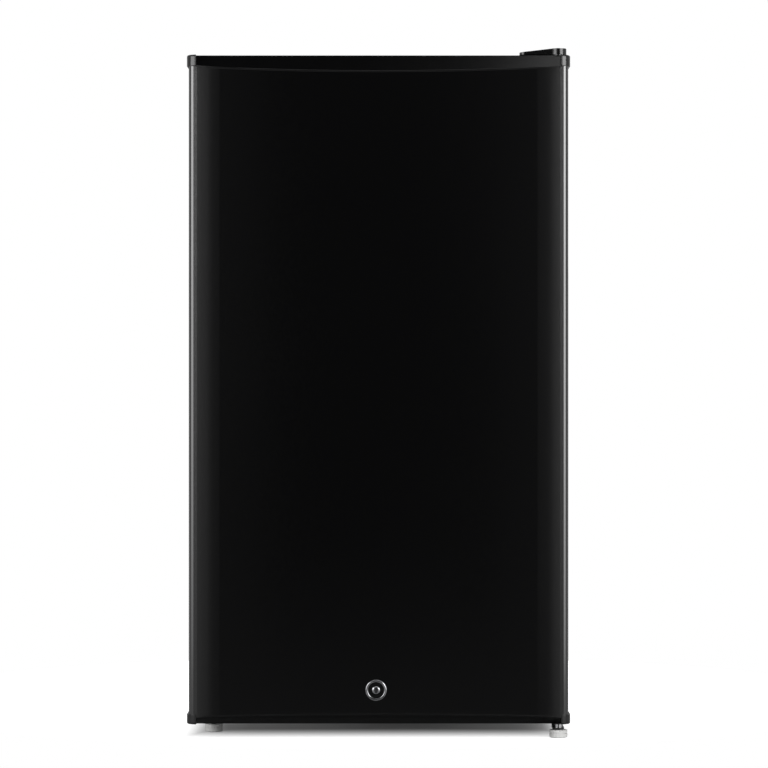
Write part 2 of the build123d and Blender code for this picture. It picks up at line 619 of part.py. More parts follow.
def shelf_rib(side, level):
    """A ledge on one side wall that carries a shelf."""
    rib = block(
        span(side * (LINER_HALF - RIB_OUT), side * (LINER_HALF + LINER / 2)),
        (CASE_FRONT + RIB_FRONT, LINER_BACK + LINER / 2),
        (level - RIB_HEIGHT, level),
    )
    inner_face = rib.faces().sort_by(Axis.X)[0 if side > 0 else -1]
    edges = [edge for edge in inner_face.edges() if edge.center().Y < LINER_BACK]
    return fillet(edges, RIB_ROUND)


def inner_liner():
    """White formed sheet that lines the room, with a rim at the mouth and ribs for the shelves."""
    outside = cavity(LINER)
    skin = outside + liner_rim() - cavity(0)
    ribs = [shelf_rib(side, level) & outside for side in SIDES for level in SHELF_LEVELS]
    return skin + ribs


def cabinet_foam():
    """Insulation that fills the space between the case and the liner."""
    fill = case_form(CASE_SHEET) & block(
        (-CASE_HALF, CASE_HALF),
        (CASE_FRONT, CASE_BACK - CASE_SHEET),
        (BASE_HEIGHT + CASE_SHEET, CASE_TOP),
    )
    alcove = block(
        (-CASE_HALF, CASE_HALF),
        (ALCOVE_FRONT, CASE_BACK + OVERCUT),
        (BASE_HEIGHT - OVERCUT, ALCOVE_TOP),
    )
    rail = block((-CASE_HALF, CASE_HALF), (CASE_FRONT, RAIL_BACK), (BASE_HEIGHT, RAIL_TOP))
    fill = fill - cavity(LINER) - liner_rim() - alcove - rail
    return fill - top_screw_shanks() - bracket_screw_shanks() - clip_screw_shanks() - line_ends()


def compressor_deck():
    """Steel tray across the back that carries the compressor, with an upright rear edge."""
    floor = block((-CASE_IN, CASE_IN), (ALCOVE_FRONT, CASE_BACK), (CASE_BOTTOM, DECK_TOP))
    edge = block(
        (-CASE_IN, CASE_IN),
        (CASE_BACK - RAIL_SHEET, CASE_BACK),
        (CASE_BOTTOM, CASE_BOTTOM + DECK_FLANGE),
    )
    gland_hole = rod(
        (GLAND_X, CASE_BACK - GLAND_LENGTH, DECK_TOP + GLAND_HEIGHT),
        (GLAND_X, CASE_BACK + GLAND_LENGTH, DECK_TOP + GLAND_HEIGHT),
        GLAND_NECK,
    )
    bolt_holes = [
        rod((x, y, CASE_BOTTOM - OVERCUT), (x, y, DECK_TOP + OVERCUT), BOLT_RADIUS)
        for x, y in grommet_places()
    ]
    return floor + edge - gland_hole - bolt_holes


def rear_feet():
    """Two fixed plastic feet under the compressor deck."""
    feet = []
    for side in SIDES:
        x = side * (CASE_HALF - REAR_FOOT_INSET)
        y = CASE_BACK - REAR_FOOT_INSET
        pad = rod((x, y, 0), (x, y, CASE_BOTTOM), REAR_FOOT_RADIUS)
        feet.append(fillet(pad.edges().sort_by(Axis.Z)[0], FOOT_ROUND))
    return Compound(feet)


# Hinges

def top_screw_places():
    """Where the upper hinge plate is screwed to the case."""
    near = HINGE_X - PLATE_NOSE
    far = PLATE_RIGHT - SCREW_HEAD
    rows = (CASE_FRONT + TOP_PLATE_STEP + SCREW_INSET, CASE_FRONT + TOP_PLATE_BACK - SCREW_INSET)
    return [(near, rows[0]), (far, (rows[0] + rows[1]) / 2), (near, rows[1])]


def top_screw_shanks():
    """Shanks of the upper hinge screws, as holes."""
    top = CASE_TOP + HINGE_PLATE
    return [rod((x, y, top - SCREW_LENGTH), (x, y, top), SCREW_RADIUS) for x, y in top_screw_places()]


def bracket_screw_places():
    """Where the lower hinge bracket is screwed to the front rail, as (x, z)."""
    middle = HINGE_X + PLATE_NOSE - BRACKET_WIDTH / 2
    return [(middle, CASE_BOTTOM + SCREW_INSET), (middle, BRACKET_TOP - SCREW_INSET)]


def bracket_screw_shanks():
    """Shanks of the lower hinge screws, as holes."""
    head = CASE_FRONT - HINGE_PLATE
    return [rod((x, head + SCREW_LENGTH, z), (x, head, z), SCREW_RADIUS) for x, z in bracket_screw_places()]


def upper_hinge_plate():
    """Steel plate on top of the case, with a nose over the door that holds the pin."""
    z = (CASE_TOP, CASE_TOP + HINGE_PLATE)
    nose = rod((HINGE_X, HINGE_Y, z[0]), (HINGE_X, HINGE_Y, z[1]), PLATE_NOSE)
    neck = block((HINGE_X - PLATE_NOSE, HINGE_X + PLATE_NOSE), (HINGE_Y, CASE_FRONT + TOP_PLATE_STEP), z)
    body = block(
        (PLATE_RIGHT - TOP_PLATE_WIDTH, PLATE_RIGHT),
        (CASE_FRONT + TOP_PLATE_STEP, CASE_FRONT + TOP_PLATE_BACK),
        z,
    )
    pin_hole = rod((HINGE_X, HINGE_Y, z[0] - OVERCUT), (HINGE_X, HINGE_Y, z[1] + OVERCUT), HINGE_PIN)
    return nose + neck + body - pin_hole - top_screw_shanks()


def lower_hinge_bracket():
    """Steel angle on the front rail, with a tongue under the door that holds the lower pin."""
    right = HINGE_X + PLATE_NOSE
    sheet = (CASE_FRONT - HINGE_PLATE, CASE_FRONT)
    z = (BRACKET_PLATE_BOTTOM, BRACKET_PLATE_TOP)
    upright = block((right - BRACKET_WIDTH, right), sheet, (CASE_BOTTOM, BRACKET_TOP))
    drop = block((HINGE_X - PLATE_NOSE, right), sheet, (z[0], CASE_BOTTOM))
    tongue = block((HINGE_X - PLATE_NOSE, right), (HINGE_Y, CASE_FRONT), z)
    nose = rod((HINGE_X, HINGE_Y, z[0]), (HINGE_X, HINGE_Y, z[1]), PLATE_NOSE)
    pin_hole = rod((HINGE_X, HINGE_Y, z[0] - OVERCUT), (HINGE_X, HINGE_Y, z[1] + OVERCUT), HINGE_PIN)
    return upright + drop + tongue + nose - pin_hole - bracket_screw_shanks()


def hinge_pins():
    """Upper and lower door pins; the lower one ends in the stud that carries the right front foot."""
    upper = post(HINGE_X, HINGE_Y, (DOOR_TOP - PIN_REACH, CASE_TOP + HINGE_PLATE), HINGE_PIN)
    lower = post(HINGE_X, HINGE_Y, (BRACKET_PLATE_BOTTOM, DOOR_BOTTOM + PIN_REACH), HINGE_PIN)
    stud = post(HINGE_X, HINGE_Y, (STUD_END, BRACKET_PLATE_BOTTOM), FOOT_STUD)
    collar_top = DOOR_BOTTOM - BUSH_FLANGE_THICKNESS - COLLAR_GAP
    collar = post(HINGE_X, HINGE_Y, (BRACKET_PLATE_TOP, collar_top), PIN_COLLAR)
    return Compound([upper, lower + stud + collar])


def hinge_bushes():
    """Flanged nylon bushes pressed into the end caps."""
    bushes = []
    for face, inward in ((DOOR_TOP, -1), (DOOR_BOTTOM, 1)):
        sleeve = rod((HINGE_X, HINGE_Y, face), (HINGE_X, HINGE_Y, face + inward * BUSH_DEPTH), BUSH_RADIUS)
        outside = face - inward * BUSH_FLANGE_THICKNESS
        flange = rod((HINGE_X, HINGE_Y, outside), (HINGE_X, HINGE_Y, face), BUSH_FLANGE)
        bore = rod(
            (HINGE_X, HINGE_Y, face - inward * BUSH_DEPTH),
            (HINGE_X, HINGE_Y, face + inward * (BUSH_DEPTH + OVERCUT)),
            HINGE_PIN + PIN_CLEARANCE,
        )
        bushes.append(sleeve + flange - bore)
    return Compound(bushes)


def screws():
    """Screws of the upper hinge plate, the lower hinge bracket and the condenser's clips."""
    top = CASE_TOP + HINGE_PLATE
    front = CASE_FRONT - HINGE_PLATE
    rear = CASE_BACK + RAIL_SHEET
    upper = [screw((x, y, top - SCREW_LENGTH), (x, y, top)) for x, y in top_screw_places()]
    lower = [screw((x, front + SCREW_LENGTH, z), (x, front, z)) for x, z in bracket_screw_places()]
    back = [screw((x, rear - SCREW_LENGTH, z), (x, rear, z)) for x, z in clip_screw_places()]
    return Compound(upper + lower + back)


def cover_form(inset):
    """The hinge cover's form: low at its inner end, rising to a level outer end over the pin."""
    right = CASE_HALF - inset
    left = CASE_HALF - COVER_WIDTH + inset
    level = CASE_HALF - COVER_FLAT
    slope = (HINGE_COVER_RISE - COVER_LOW_RISE) / (COVER_WIDTH - COVER_FLAT)
    top = HEIGHT - inset
    low = top - slope * (level - left)
    outline = make_face(
        Polyline((left, CASE_TOP), (right, CASE_TOP), (right, top), (level, top), (left, low), close=True)
    )
    outer_corner = outline.vertices().sort_by(Axis.X)[-2:].sort_by(Axis.Y)[-1]
    outline = fillet(outer_corner, COVER_TOP_ROUND - inset)
    y = (COVER_FRONT + inset, COVER_REAR - inset)
    plan = rounded((left, right), (y[0] + COVER_STEP, y[1]), COVER_ROUND - inset)
    plan = plan + Pos(HINGE_X, HINGE_Y) * Circle(COVER_NOSE - inset)
    return plate(outline, y) & slab(plan, (CASE_TOP, HEIGHT))


def hinge_cover():
    """Black plastic shell over the upper hinge plate."""
    return cover_form(0) - cover_form(COVER_WALL)


# Door

def door_outline(half, front, edge_round):
    """The door in plan: a crowned front that eases off to its rounded corners, and a flat back."""
    shoulder = front + CROWN
    left_knee = (EASE_WIDTH - half, shoulder - EASE_DROP)
    right_knee = (half - EASE_WIDTH, shoulder - EASE_DROP)
    bow = ThreePointArc(left_knee, (0, front), right_knee)
    rest = Polyline(
        right_knee,
        (half, shoulder),
        (half, DOOR_BACK),
        (-half, DOOR_BACK),
        (-half, shoulder),
        left_knee,
    )
    face = make_face([bow.edge(), *rest.edges()])
    face = fillet(face.vertices().group_by(Axis.Y)[1], edge_round)
    return fillet(face.vertices().group_by(Axis.Y)[0], EASE_ROUND)


def panel_outline(inset):
    """The panel's outline in plan, drawn in by a thickness."""
    return door_outline(PANEL_HALF - inset, PANEL_FRONT + inset, EDGE_ROUND - inset)


def cap_outline(corner):
    """The end caps' outline in plan, which stands out past the panel."""
    return door_outline(WIDTH / 2, PANEL_FRONT - CAP_PROUD, corner)


def bevel_cutter(face, inward, bevel, inset):
    """All that lies outside the sloping front of an end cap, or outside a plane behind it by an inset."""
    run = Vector(-BEVEL_SETBACK, inward * bevel)
    into = Vector(bevel, inward * BEVEL_SETBACK).normalized()
    start = Vector(CAP_EDGE, face) + into * inset
    high = start - run
    deep = start + run * (2 + CROWN / BEVEL_SETBACK)
    outline = make_face(Polyline((high.X, high.Y), (deep.X, deep.Y), (deep.X, high.Y), close=True))
    return extrude(Plane.YZ * outline, WIDTH, both=True)


def door_room(inset):
    """The space between the two end caps, inside the panel's outline drawn in by a thickness."""
    room = slab(panel_outline(inset), (DOOR_BOTTOM + CAP_PLATE, DOOR_TOP - CAP_PLATE))
    above = bevel_cutter(DOOR_TOP, -1, TOP_BEVEL, CAP_WALL)
    below = bevel_cutter(DOOR_BOTTOM, 1, BOTTOM_BEVEL, CAP_WALL)
    return room - above - below


def lock_rod(front, back, radius):
    """A round bar on the lock's axis."""
    return rod((LOCK_X, front, LOCK_HEIGHT), (LOCK_X, back, LOCK_HEIGHT), radius)


def lock_bore():
    """The hole through the door for the lock's barrel."""
    return lock_rod(FRONT - OVERCUT, DOOR_BACK + OVERCUT, BARREL_RADIUS)


def grip_block(wall, mouth):
    """The block of the grip pocket, drawn in by a wall and run out past the door's edge by a mouth."""
    back = DOOR_BACK - GRIP_SETBACK
    return block(
        (-PANEL_HALF - mouth, -PANEL_HALF + GRIP_DEPTH - wall),
        (back - GRIP_WIDTH + wall, back - wall),
        (GRIP_CENTRE - GRIP_HEIGHT / 2 + wall, GRIP_CENTRE + GRIP_HEIGHT / 2 - wall),
    )


def door_panel():
    """Black painted steel sheet: the crowned front, the rounded sides and a folded edge at the back."""
    z = (DOOR_BOTTOM + CAP_PLATE, DOOR_TOP - CAP_PLATE)
    skin = door_room(0) - door_room(DOOR_SHEET)
    folds = [
        block(
            span(side * (PANEL_HALF - DOOR_SHEET), side * (PANEL_HALF - PANEL_RETURN)),
            (DOOR_BACK - DOOR_SHEET, DOOR_BACK),
            z,
        )
        for side in SIDES
    ]
    return skin + folds - lock_bore() - grip_block(0, 0)


def end_cap(face, inward, bevel, side_height):
    """Black plastic end cap: a plate over the door's end, upright ends, a sloping front and a hinge boss."""
    half = WIDTH / 2
    depth = bevel * (2 + CROWN / BEVEL_SETBACK)
    between = (CAP_END - half, half - CAP_END)
    heights = span(face - inward * OVERCUT, face + inward * (depth + OVERCUT))
    lid = slab(cap_outline(CAP_END), span(face, face + inward * side_height))
    for level, radius in ((face, CAP_ROUND), (face + inward * side_height, CAP_EASE)):
        rim = [
            edge
            for edge in lid.edges().filter_by_position(Axis.Z, level, level)
            if edge.center().Y < DOOR_BACK - CAP_ROUND
        ]
        lid = fillet(rim, radius)
    lid = lid - block(between, (FRONT - OVERCUT, SHOULDER), heights)
    slope = bevel_cutter(face, inward, bevel, 0)
    lid = lid - (slope & block(between, (FRONT - OVERCUT, DOOR_BACK), heights))
    front = slab(cap_outline(EDGE_ROUND + CAP_PROUD), span(face, face + inward * depth))
    front = front & bevel_cutter(face, inward, bevel, CAP_WALL)
    front = front - slope
    lip = [edge for edge in front.edges() if edge.length > half and edge.center().Y < SHOULDER]
    front = fillet(lip, LIP_ROUND)
    front = front & block(between, (FRONT - OVERCUT, DOOR_BACK), heights)
    boss = rod(
        (HINGE_X, HINGE_Y, face),
        (HINGE_X, HINGE_Y, face + inward * (BUSH_DEPTH + BOSS_FLOOR)),
        BOSS_RADIUS,
    )
    socket = rod(
        (HINGE_X, HINGE_Y, face - inward * OVERCUT),
        (HINGE_X, HINGE_Y, face + inward * BUSH_DEPTH),
        BUSH_RADIUS,
    )
    return (lid - door_room(0)) + front + boss - socket


def door_top_cap():
    return end_cap(DOOR_TOP, -1, TOP_BEVEL, TOP_SIDE)


def door_bottom_cap():
    return end_cap(DOOR_BOTTOM, 1, BOTTOM_BEVEL, BOTTOM_SIDE)


def dyke_form(inset):
    """The raised frame on the door's back: two side dykes joined by a top and a bottom ridge."""
    base = DOOR_BACK - DOOR_LINER
    sides = [
        block(
            span(side * (DYKE_HALF - inset), side * (DYKE_HALF - DYKE_WIDTH + inset)),
            (base, DOOR_BACK + DYKE_DEPTH - inset),
            (DYKE_BOTTOM + inset, DYKE_TOP - inset),
        )
        for side in SIDES
    ]
    ridges = [
        block(
            (-DYKE_HALF + DYKE_WIDTH / 2, DYKE_HALF - DYKE_WIDTH / 2),
            (base, DOOR_BACK + RIDGE_DEPTH - inset),
            (low + inset, low + RIDGE_WIDTH - inset),
        )
        for low in (DYKE_BOTTOM, DYKE_TOP - RIDGE_WIDTH)
    ]
    eased = [fillet(dyke_edges(dyke), DYKE_ROUND - inset) for dyke in sides]
    for ridge in ridges:
        long_edges = ridge.faces().sort_by(Axis.Y)[-1].edges().filter_by(Axis.X)
        eased.append(fillet(long_edges, DYKE_ROUND - inset))
    return eased[0] + eased[1:]


def dyke_edges(dyke):
    """All edges of a side dyke but those at its base."""
    base = dyke.faces().sort_by(Axis.Y)[0]
    return [edge for edge in dyke.edges() if edge.center().Y > base.center().Y + DOOR_LINER]


def rack_lug(side, rack_base):
    """A lug on a dyke's inner face, on which a rack hangs."""
    inner = DYKE_HALF - DYKE_WIDTH
    return block(
        span(side * (inner - LUG_OUT), side * (inner + DOOR_LINER / 2)),
        (DOOR_BACK + LUG_SETBACK, DOOR_BACK + LUG_SETBACK + LUG_WIDTH),
        (rack_base + LUG_BASE, rack_base + LUG_BASE + LUG_HEIGHT),
    )


def door_liner():
    """White formed sheet that closes the door's back, with dykes and lugs for the racks."""
    back = block(
        (-PANEL_HALF + PANEL_RETURN, PANEL_HALF - PANEL_RETURN),
        (DOOR_BACK - DOOR_LINER, DOOR_BACK),
        (DOOR_BOTTOM + CAP_PLATE, DOOR_TOP - CAP_PLATE),
    )
    lugs = [rack_lug(side, base) for side in SIDES for base in RACK_BASES]
    return back + dyke_form(0) - dyke_form(DOOR_LINER) + lugs - lock_bore()


def door_foam():
    """Insulation that fills the door."""
    behind = block((-WIDTH, WIDTH), (DOOR_BACK - DOOR_LINER, DOOR_BACK + OVERCUT), (0, HEIGHT))
    fill = door_room(DOOR_SHEET) - behind
    bosses = [
        rod(
            (HINGE_X, HINGE_Y, face),
            (HINGE_X, HINGE_Y, face + inward * (BUSH_DEPTH + BOSS_FLOOR)),
            BOSS_RADIUS,
        )
        for face, inward in ((DOOR_TOP, -1), (DOOR_BOTTOM, 1))
    ]
    edges = [
        block(
            span(side * (PANEL_HALF - DOOR_SHEET), side * (PANEL_HALF - PANEL_RETURN)),
            (DOOR_BACK - DOOR_LINER, DOOR_BACK - DOOR_SHEET),
            (DOOR_BOTTOM + CAP_PLATE, DOOR_TOP - CAP_PLATE),
        )
        for side in SIDES
    ]
    return fill + edges + dyke_form(DOOR_LINER) - bosses - lock_bore() - grip_block(0, 0)


def door_grip():
    """Black plastic pocket let into the door's free edge, to pull the door by."""
    return grip_block(0, 0) - grip_block(GRIP_WALL, OVERCUT)


def seal_ring(inset, width, y):
    """A ring round the door's back, a given distance in from the seal's outer edge."""
    corner = max(SEAL_CORNER - inset, SEAL_INNER_CORNER)
    outer = rounded((-SEAL_HALF + inset, SEAL_HALF - inset), (SEAL_BOTTOM + inset, SEAL_TOP - inset), corner)
    far = inset + width
    inner_corner = max(SEAL_CORNER - far, SEAL_INNER_CORNER)
    inner = rounded((-SEAL_HALF + far, SEAL_HALF - far), (SEAL_BOTTOM + far, SEAL_TOP - far), inner_corner)
    return plate(outer - inner, y)


def seal_levels():
    """Y limits of the seal's foot, neck, head and magnet."""
    foot = (DOOR_BACK, DOOR_BACK + SEAL_FOOT)
    neck = (foot[1], foot[1] + SEAL_NECK_HEIGHT)
    head = (neck[1], CASE_FRONT - SEAL_CLEARANCE)
    middle = (head[0] + head[1]) / 2
    magnet = (middle - MAGNET_THICKNESS / 2, middle + MAGNET_THICKNESS / 2)
    return foot, neck, head, magnet


def door_gasket():
    """Soft seal on the door's back: a foot strip, a neck and a hollow head that holds the magnets."""
    foot, neck, head, magnet = seal_levels()
    neck_inset = (SEAL_WIDTH - SEAL_NECK) / 2
    pocket_inset = (SEAL_WIDTH - MAGNET_WIDTH) / 2
    lips = seal_ring(0, SEAL_WIDTH, foot) + seal_ring(0, SEAL_WIDTH, head)
    return lips + seal_ring(neck_inset, SEAL_NECK, neck) - seal_ring(pocket_inset, MAGNET_WIDTH, magnet)


def seal_magnets():
    """Bendable magnet strip inside the seal's head."""
    magnet = seal_levels()[3]
    return seal_ring((SEAL_WIDTH - MAGNET_WIDTH) / 2, MAGNET_WIDTH, magnet)


def rack(base, height):
    """Clear plastic door rack: a bin with a low back wall and a channel at each end that hooks over a lug."""
    outer = block((-RACK_HALF, RACK_HALF), (RACK_OUTER, RACK_INNER), (base, base + height))
    front_corners = outer.edges().filter_by(Axis.Z).group_by(Axis.Y)[-1]
    outer = fillet(front_corners, RACK_ROUND)
    inner = block(
        (-RACK_HALF + RACK_WALL, RACK_HALF - RACK_WALL),
        (RACK_OUTER + RACK_WALL, RACK_INNER - RACK_WALL),
        (base + RACK_WALL, base + height + OVERCUT),
    )
    inner = fillet(inner.edges().filter_by(Axis.Z).group_by(Axis.Y)[-1], RACK_ROUND - RACK_WALL)
    low_back = block(
        (-RACK_HALF + RACK_WALL, RACK_HALF - RACK_WALL),
        (RACK_OUTER - OVERCUT, RACK_OUTER + RACK_WALL + OVERCUT),
        (base + RACK_BACK_HEIGHT, base + height + OVERCUT),
    )
    body = outer - inner - low_back
    return body + [rack_channel(side, base) for side in SIDES]


def rack_channel(side, base):
    """The upside-down channel at a rack's end that slips over a dyke's lug."""
    reach = DYKE_HALF - DYKE_WIDTH - CHANNEL_SIDE_GAP
    lug = (DOOR_BACK + LUG_SETBACK, DOOR_BACK + LUG_SETBACK + LUG_WIDTH)
    top = base + LUG_BASE + LUG_HEIGHT
    x = span(side * (RACK_HALF - RACK_WALL / 2), side * reach)
    whole = block(
        x,
        (lug[0] - CHANNEL_CLEARANCE - CHANNEL_WALL, lug[1] + CHANNEL_CLEARANCE + CHANNEL_WALL),
        (base + LUG_BASE, top + CHANNEL_WALL),
    )
    slot = block(
        span(side * RACK_HALF, side * (reach + OVERCUT)),
        (lug[0] - CHANNEL_CLEARANCE, lug[1] + CHANNEL_CLEARANCE),
        (base + LUG_BASE - OVERCUT, top),
    )
    return whole - slot


# Lock

def lock_bezel():
    """Chromed ring round the lock on the door's front."""
    ring = lock_rod(FRONT, PANEL_FRONT, BEZEL_RADIUS)
    ring = fillet(ring.edges().filter_by(GeomType.CIRCLE).sort_by(Axis.Y)[0], BEZEL_ROUND)
    return ring - lock_rod(FRONT - OVERCUT, PANEL_FRONT + OVERCUT, BEZEL_BORE)


def lock_barrel():
    """Fixed barrel of the lock, through the door."""
    barrel = lock_rod(BARREL_FACE, NUT_BACK, BARREL_RADIUS)
    return barrel - lock_rod(BARREL_FACE - OVERCUT, NUT_BACK + OVERCUT, PLUG_RADIUS + PIN_CLEARANCE)


def lock_nut():
    """Hexagon nut that clamps the barrel against the door's back."""
    hexagon = Pos(LOCK_X, LOCK_HEIGHT) * (RegularPolygon(LOCK_NUT, 6) - Circle(BARREL_RADIUS))
    return plate(hexagon, (DOOR_BACK, NUT_BACK))


def lock_plug():
    """Key plug that turns in the barrel, with its key slot at the front."""
    front = BARREL_FACE - PLUG_PROUD
    plug = lock_rod(front, CAM_FRONT, PLUG_RADIUS)
    slot = block(
        (LOCK_X - KEY_SLOT_WIDTH / 2, LOCK_X + KEY_SLOT_WIDTH / 2),
        (front - OVERCUT, front + KEY_SLOT_DEPTH),
        (LOCK_HEIGHT - KEY_SLOT_HEIGHT / 2, LOCK_HEIGHT + KEY_SLOT_HEIGHT / 2),
    )
    return plug - slot


def lock_cam():
    """Flat steel lever on the plug's end that turns down behind the keeper."""
    hub = Circle(CAM_HUB)
    arm = Pos(-CAM_LENGTH / 2, 0) * SlotOverall(CAM_LENGTH + CAM_WIDTH, CAM_WIDTH)
    return plate(Pos(LOCK_X, LOCK_HEIGHT) * (hub + arm), (CAM_FRONT, CAM_BACK))


def lock_keeper():
    """Steel channel on the front rail that the cam turns into."""
    x = (LOCK_X - KEEPER_WIDTH / 2, LOCK_X + KEEPER_WIDTH / 2)
    tab_front = DOOR_BACK + KEEPER_GAP
    tab = block(x, (tab_front, tab_front + KEEPER_SHEET), (KEEPER_BASE, KEEPER_TOP))
    web = block(x, (tab_front, CASE_FRONT), (KEEPER_BASE, KEEPER_BASE + KEEPER_SHEET))
    foot = block(x, (CASE_FRONT - KEEPER_SHEET, CASE_FRONT), (KEEPER_BASE, KEEPER_TOP))
    return tab + web + foot


# Shelves

def shelf_glass(level):
    """Clear toughened glass plate held in the grooves of its two trims."""
    half = LINER_HALF - SHELF_CLEARANCE - GLASS_INSET
    lift = (TRIM_HEIGHT - GLASS) / 2
    return block(
        (-half, half),
        (SHELF_Y + TRIM_DEPTH - TRIM_GRIP, SHELF_BACK - TRIM_DEPTH + TRIM_GRIP),
        (level + lift, level + lift + GLASS),
    )


def shelf_trims(level):
    """White plastic trims on the front and rear edges of a shelf; the rear one has an upright stop."""
    half = LINER_HALF - SHELF_CLEARANCE
    glass = shelf_glass(level)
    z = (level, level + TRIM_HEIGHT)
    front = block((-half, half), (SHELF_Y, SHELF_Y + TRIM_DEPTH), z)
    front = fillet(front.faces().sort_by(Axis.Y)[0].edges().filter_by(Axis.X), TRIM_ROUND)
    rear = block((-half, half), (SHELF_BACK - TRIM_DEPTH, SHELF_BACK), z)
    stop_back = (SHELF_BACK - SHELF_STOP_THICKNESS, SHELF_BACK)
    stop = block((-half, half), stop_back, (z[1], z[1] + SHELF_STOP))
    return Compound([front - glass, rear + stop - glass])


# Chiller

def evaporator():
    """Folded aluminium plate that forms the chiller box, open at the front and back."""
    x = (CHILLER_LEFT, CHILLER_RIGHT)
    z = (CHILLER_BOTTOM, CHILLER_TOP)
    y = (CHILLER_Y, CHILLER_BACK)
    outer = plate(rounded(x, z, CHILLER_CORNER), y)
    s = CHILLER_SHEET
    inner = plate(rounded((x[0] + s, x[1] - s), (z[0] + s, z[1] - s), CHILLER_CORNER - s), y)
    return outer - inner


def evaporator_hangers():
    """Plastic spacers that hang the chiller from the liner's ceiling."""
    hangers = []
    for x in (CHILLER_LEFT + HANGER_INSET, CHILLER_RIGHT - HANGER_INSET):
        for y in (CHILLER_Y + HANGER_INSET, CHILLER_BACK - HANGER_INSET):
            hangers.append(rod((x, y, CHILLER_TOP), (x, y, CEILING), HANGER_RADIUS))
    return Compound(hangers)


def chiller_frame():
    """White plastic frame on the chiller's front with the flap's hinge ears and the drip tray's rails."""
    y = (FRAME_FRONT, CHILLER_Y)
    outer = rounded(
        (CHILLER_LEFT - FRAME_BORDER, CHILLER_RIGHT + FRAME_BORDER),
        (CHILLER_BOTTOM - FRAME_BORDER, CHILLER_TOP + FRAME_BORDER),
        FRAME_CORNER,
    )
    opening = rounded(
        (CHILLER_CENTRE - OPENING_HALF, CHILLER_CENTRE + OPENING_HALF),
        (OPENING_BOTTOM, OPENING_TOP),
        FRAME_CORNER,
    )
    frame = plate(outer - opening, y)
    ears = []
    rails = []
    for side in SIDES:
        near = CHILLER_CENTRE + side * (FLAP_HALF + FLAP_GAP)
        ears.append(
            block(
                span(near, near + side * FLAP_EAR),
                (FLAP_AXIS_Y - FLAP_BARREL, FRAME_FRONT),
                (FLAP_AXIS_Z - FLAP_BARREL, FLAP_AXIS_Z + FLAP_BARREL),
            )
        )
        edge = CHILLER_CENTRE + side * CHILLER_WIDTH / 2
        run = (FRAME_FRONT, CHILLER_BACK)
        rails.append(block(span(edge, edge - side * RAIL_WEB), run, (TRAY_BOTTOM, CHILLER_BOTTOM)))
        rails.append(
            block(
                span(edge, edge - side * RAIL_LEDGE),
                run,
                (TRAY_BOTTOM - RAIL_LEDGE_THICKNESS, TRAY_BOTTOM),
            )
        )
    pin_bore = rod(
        (CHILLER_LEFT, FLAP_AXIS_Y, FLAP_AXIS_Z),
        (CHILLER_RIGHT, FLAP_AXIS_Y, FLAP_AXIS_Z),
        FLAP_PIN + PIN_CLEARANCE,
    )
    return frame + ears + rails - pin_bore


def chiller_flap():
    """Translucent plastic door of the chiller, hung from a barrel along its top edge."""
    x = (CHILLER_CENTRE - FLAP_HALF, CHILLER_CENTRE + FLAP_HALF)
    bottom = OPENING_BOTTOM - FLAP_OVERLAP
    sheet = block(
        x,
        (FLAP_AXIS_Y - FLAP_THICKNESS / 2, FLAP_AXIS_Y + FLAP_THICKNESS / 2),
        (bottom, FLAP_AXIS_Z),
    )
    sheet = fillet(sheet.edges().filter_by(Axis.Y).group_by(Axis.Z)[0], FRAME_CORNER)
    barrel = rod((x[0], FLAP_AXIS_Y, FLAP_AXIS_Z), (x[1], FLAP_AXIS_Y, FLAP_AXIS_Z), FLAP_BARREL)
    pins = rod(
        (x[0] - FLAP_EAR, FLAP_AXIS_Y, FLAP_AXIS_Z),
        (x[1] + FLAP_EAR, FLAP_AXIS_Y, FLAP_AXIS_Z),
        FLAP_PIN,
    )
    pull = block(
        (CHILLER_CENTRE - FLAP_PULL / 2, CHILLER_CENTRE + FLAP_PULL / 2),
        (FLAP_AXIS_Y - FLAP_THICKNESS / 2 - FLAP_PULL_OUT, FLAP_AXIS_Y),
        (bottom + FLAP_PULL_HEIGHT, bottom + 2 * FLAP_PULL_HEIGHT),
    )
    pull = fillet(pull.faces().sort_by(Axis.Y)[0].edges(), FLAP_PULL_ROUND)
    return sheet + barrel + pins + pull


def drip_tray():
    """Shallow plastic tray under the chiller that slides on the frame's rails."""
    x = (CHILLER_CENTRE - TRAY_HALF, CHILLER_CENTRE + TRAY_HALF)
    y = (FRAME_FRONT, CHILLER_BACK)
    z = (TRAY_BOTTOM, TRAY_TOP)
    outer = block(x, y, z)
    outer = fillet(outer.edges().filter_by(Axis.Z), TRAY_CORNER)
    w = TRAY_WALL
    inner = block((x[0] + w, x[1] - w), (y[0] + w, y[1] - w), (z[0] + w, z[1] + OVERCUT))
    inner = fillet(inner.edges().filter_by(Axis.Z), TRAY_CORNER - w)
    lip = block((x[0] + TRAY_CORNER, x[1] - TRAY_CORNER), (y[0] - TRAY_LIP, y[0] + w / 2), (z[1] - w, z[1]))
    lip = fillet(lip.edges().filter_by(Axis.Z).group_by(Axis.Y)[0], TRAY_CORNER)
    return outer - inner + lip


# Thermostat

def knob_rod(front, back, radius):
    """A round bar on the dial's axis."""
    return rod((KNOB_X, front, KNOB_Z), (KNOB_X, back, KNOB_Z), radius)


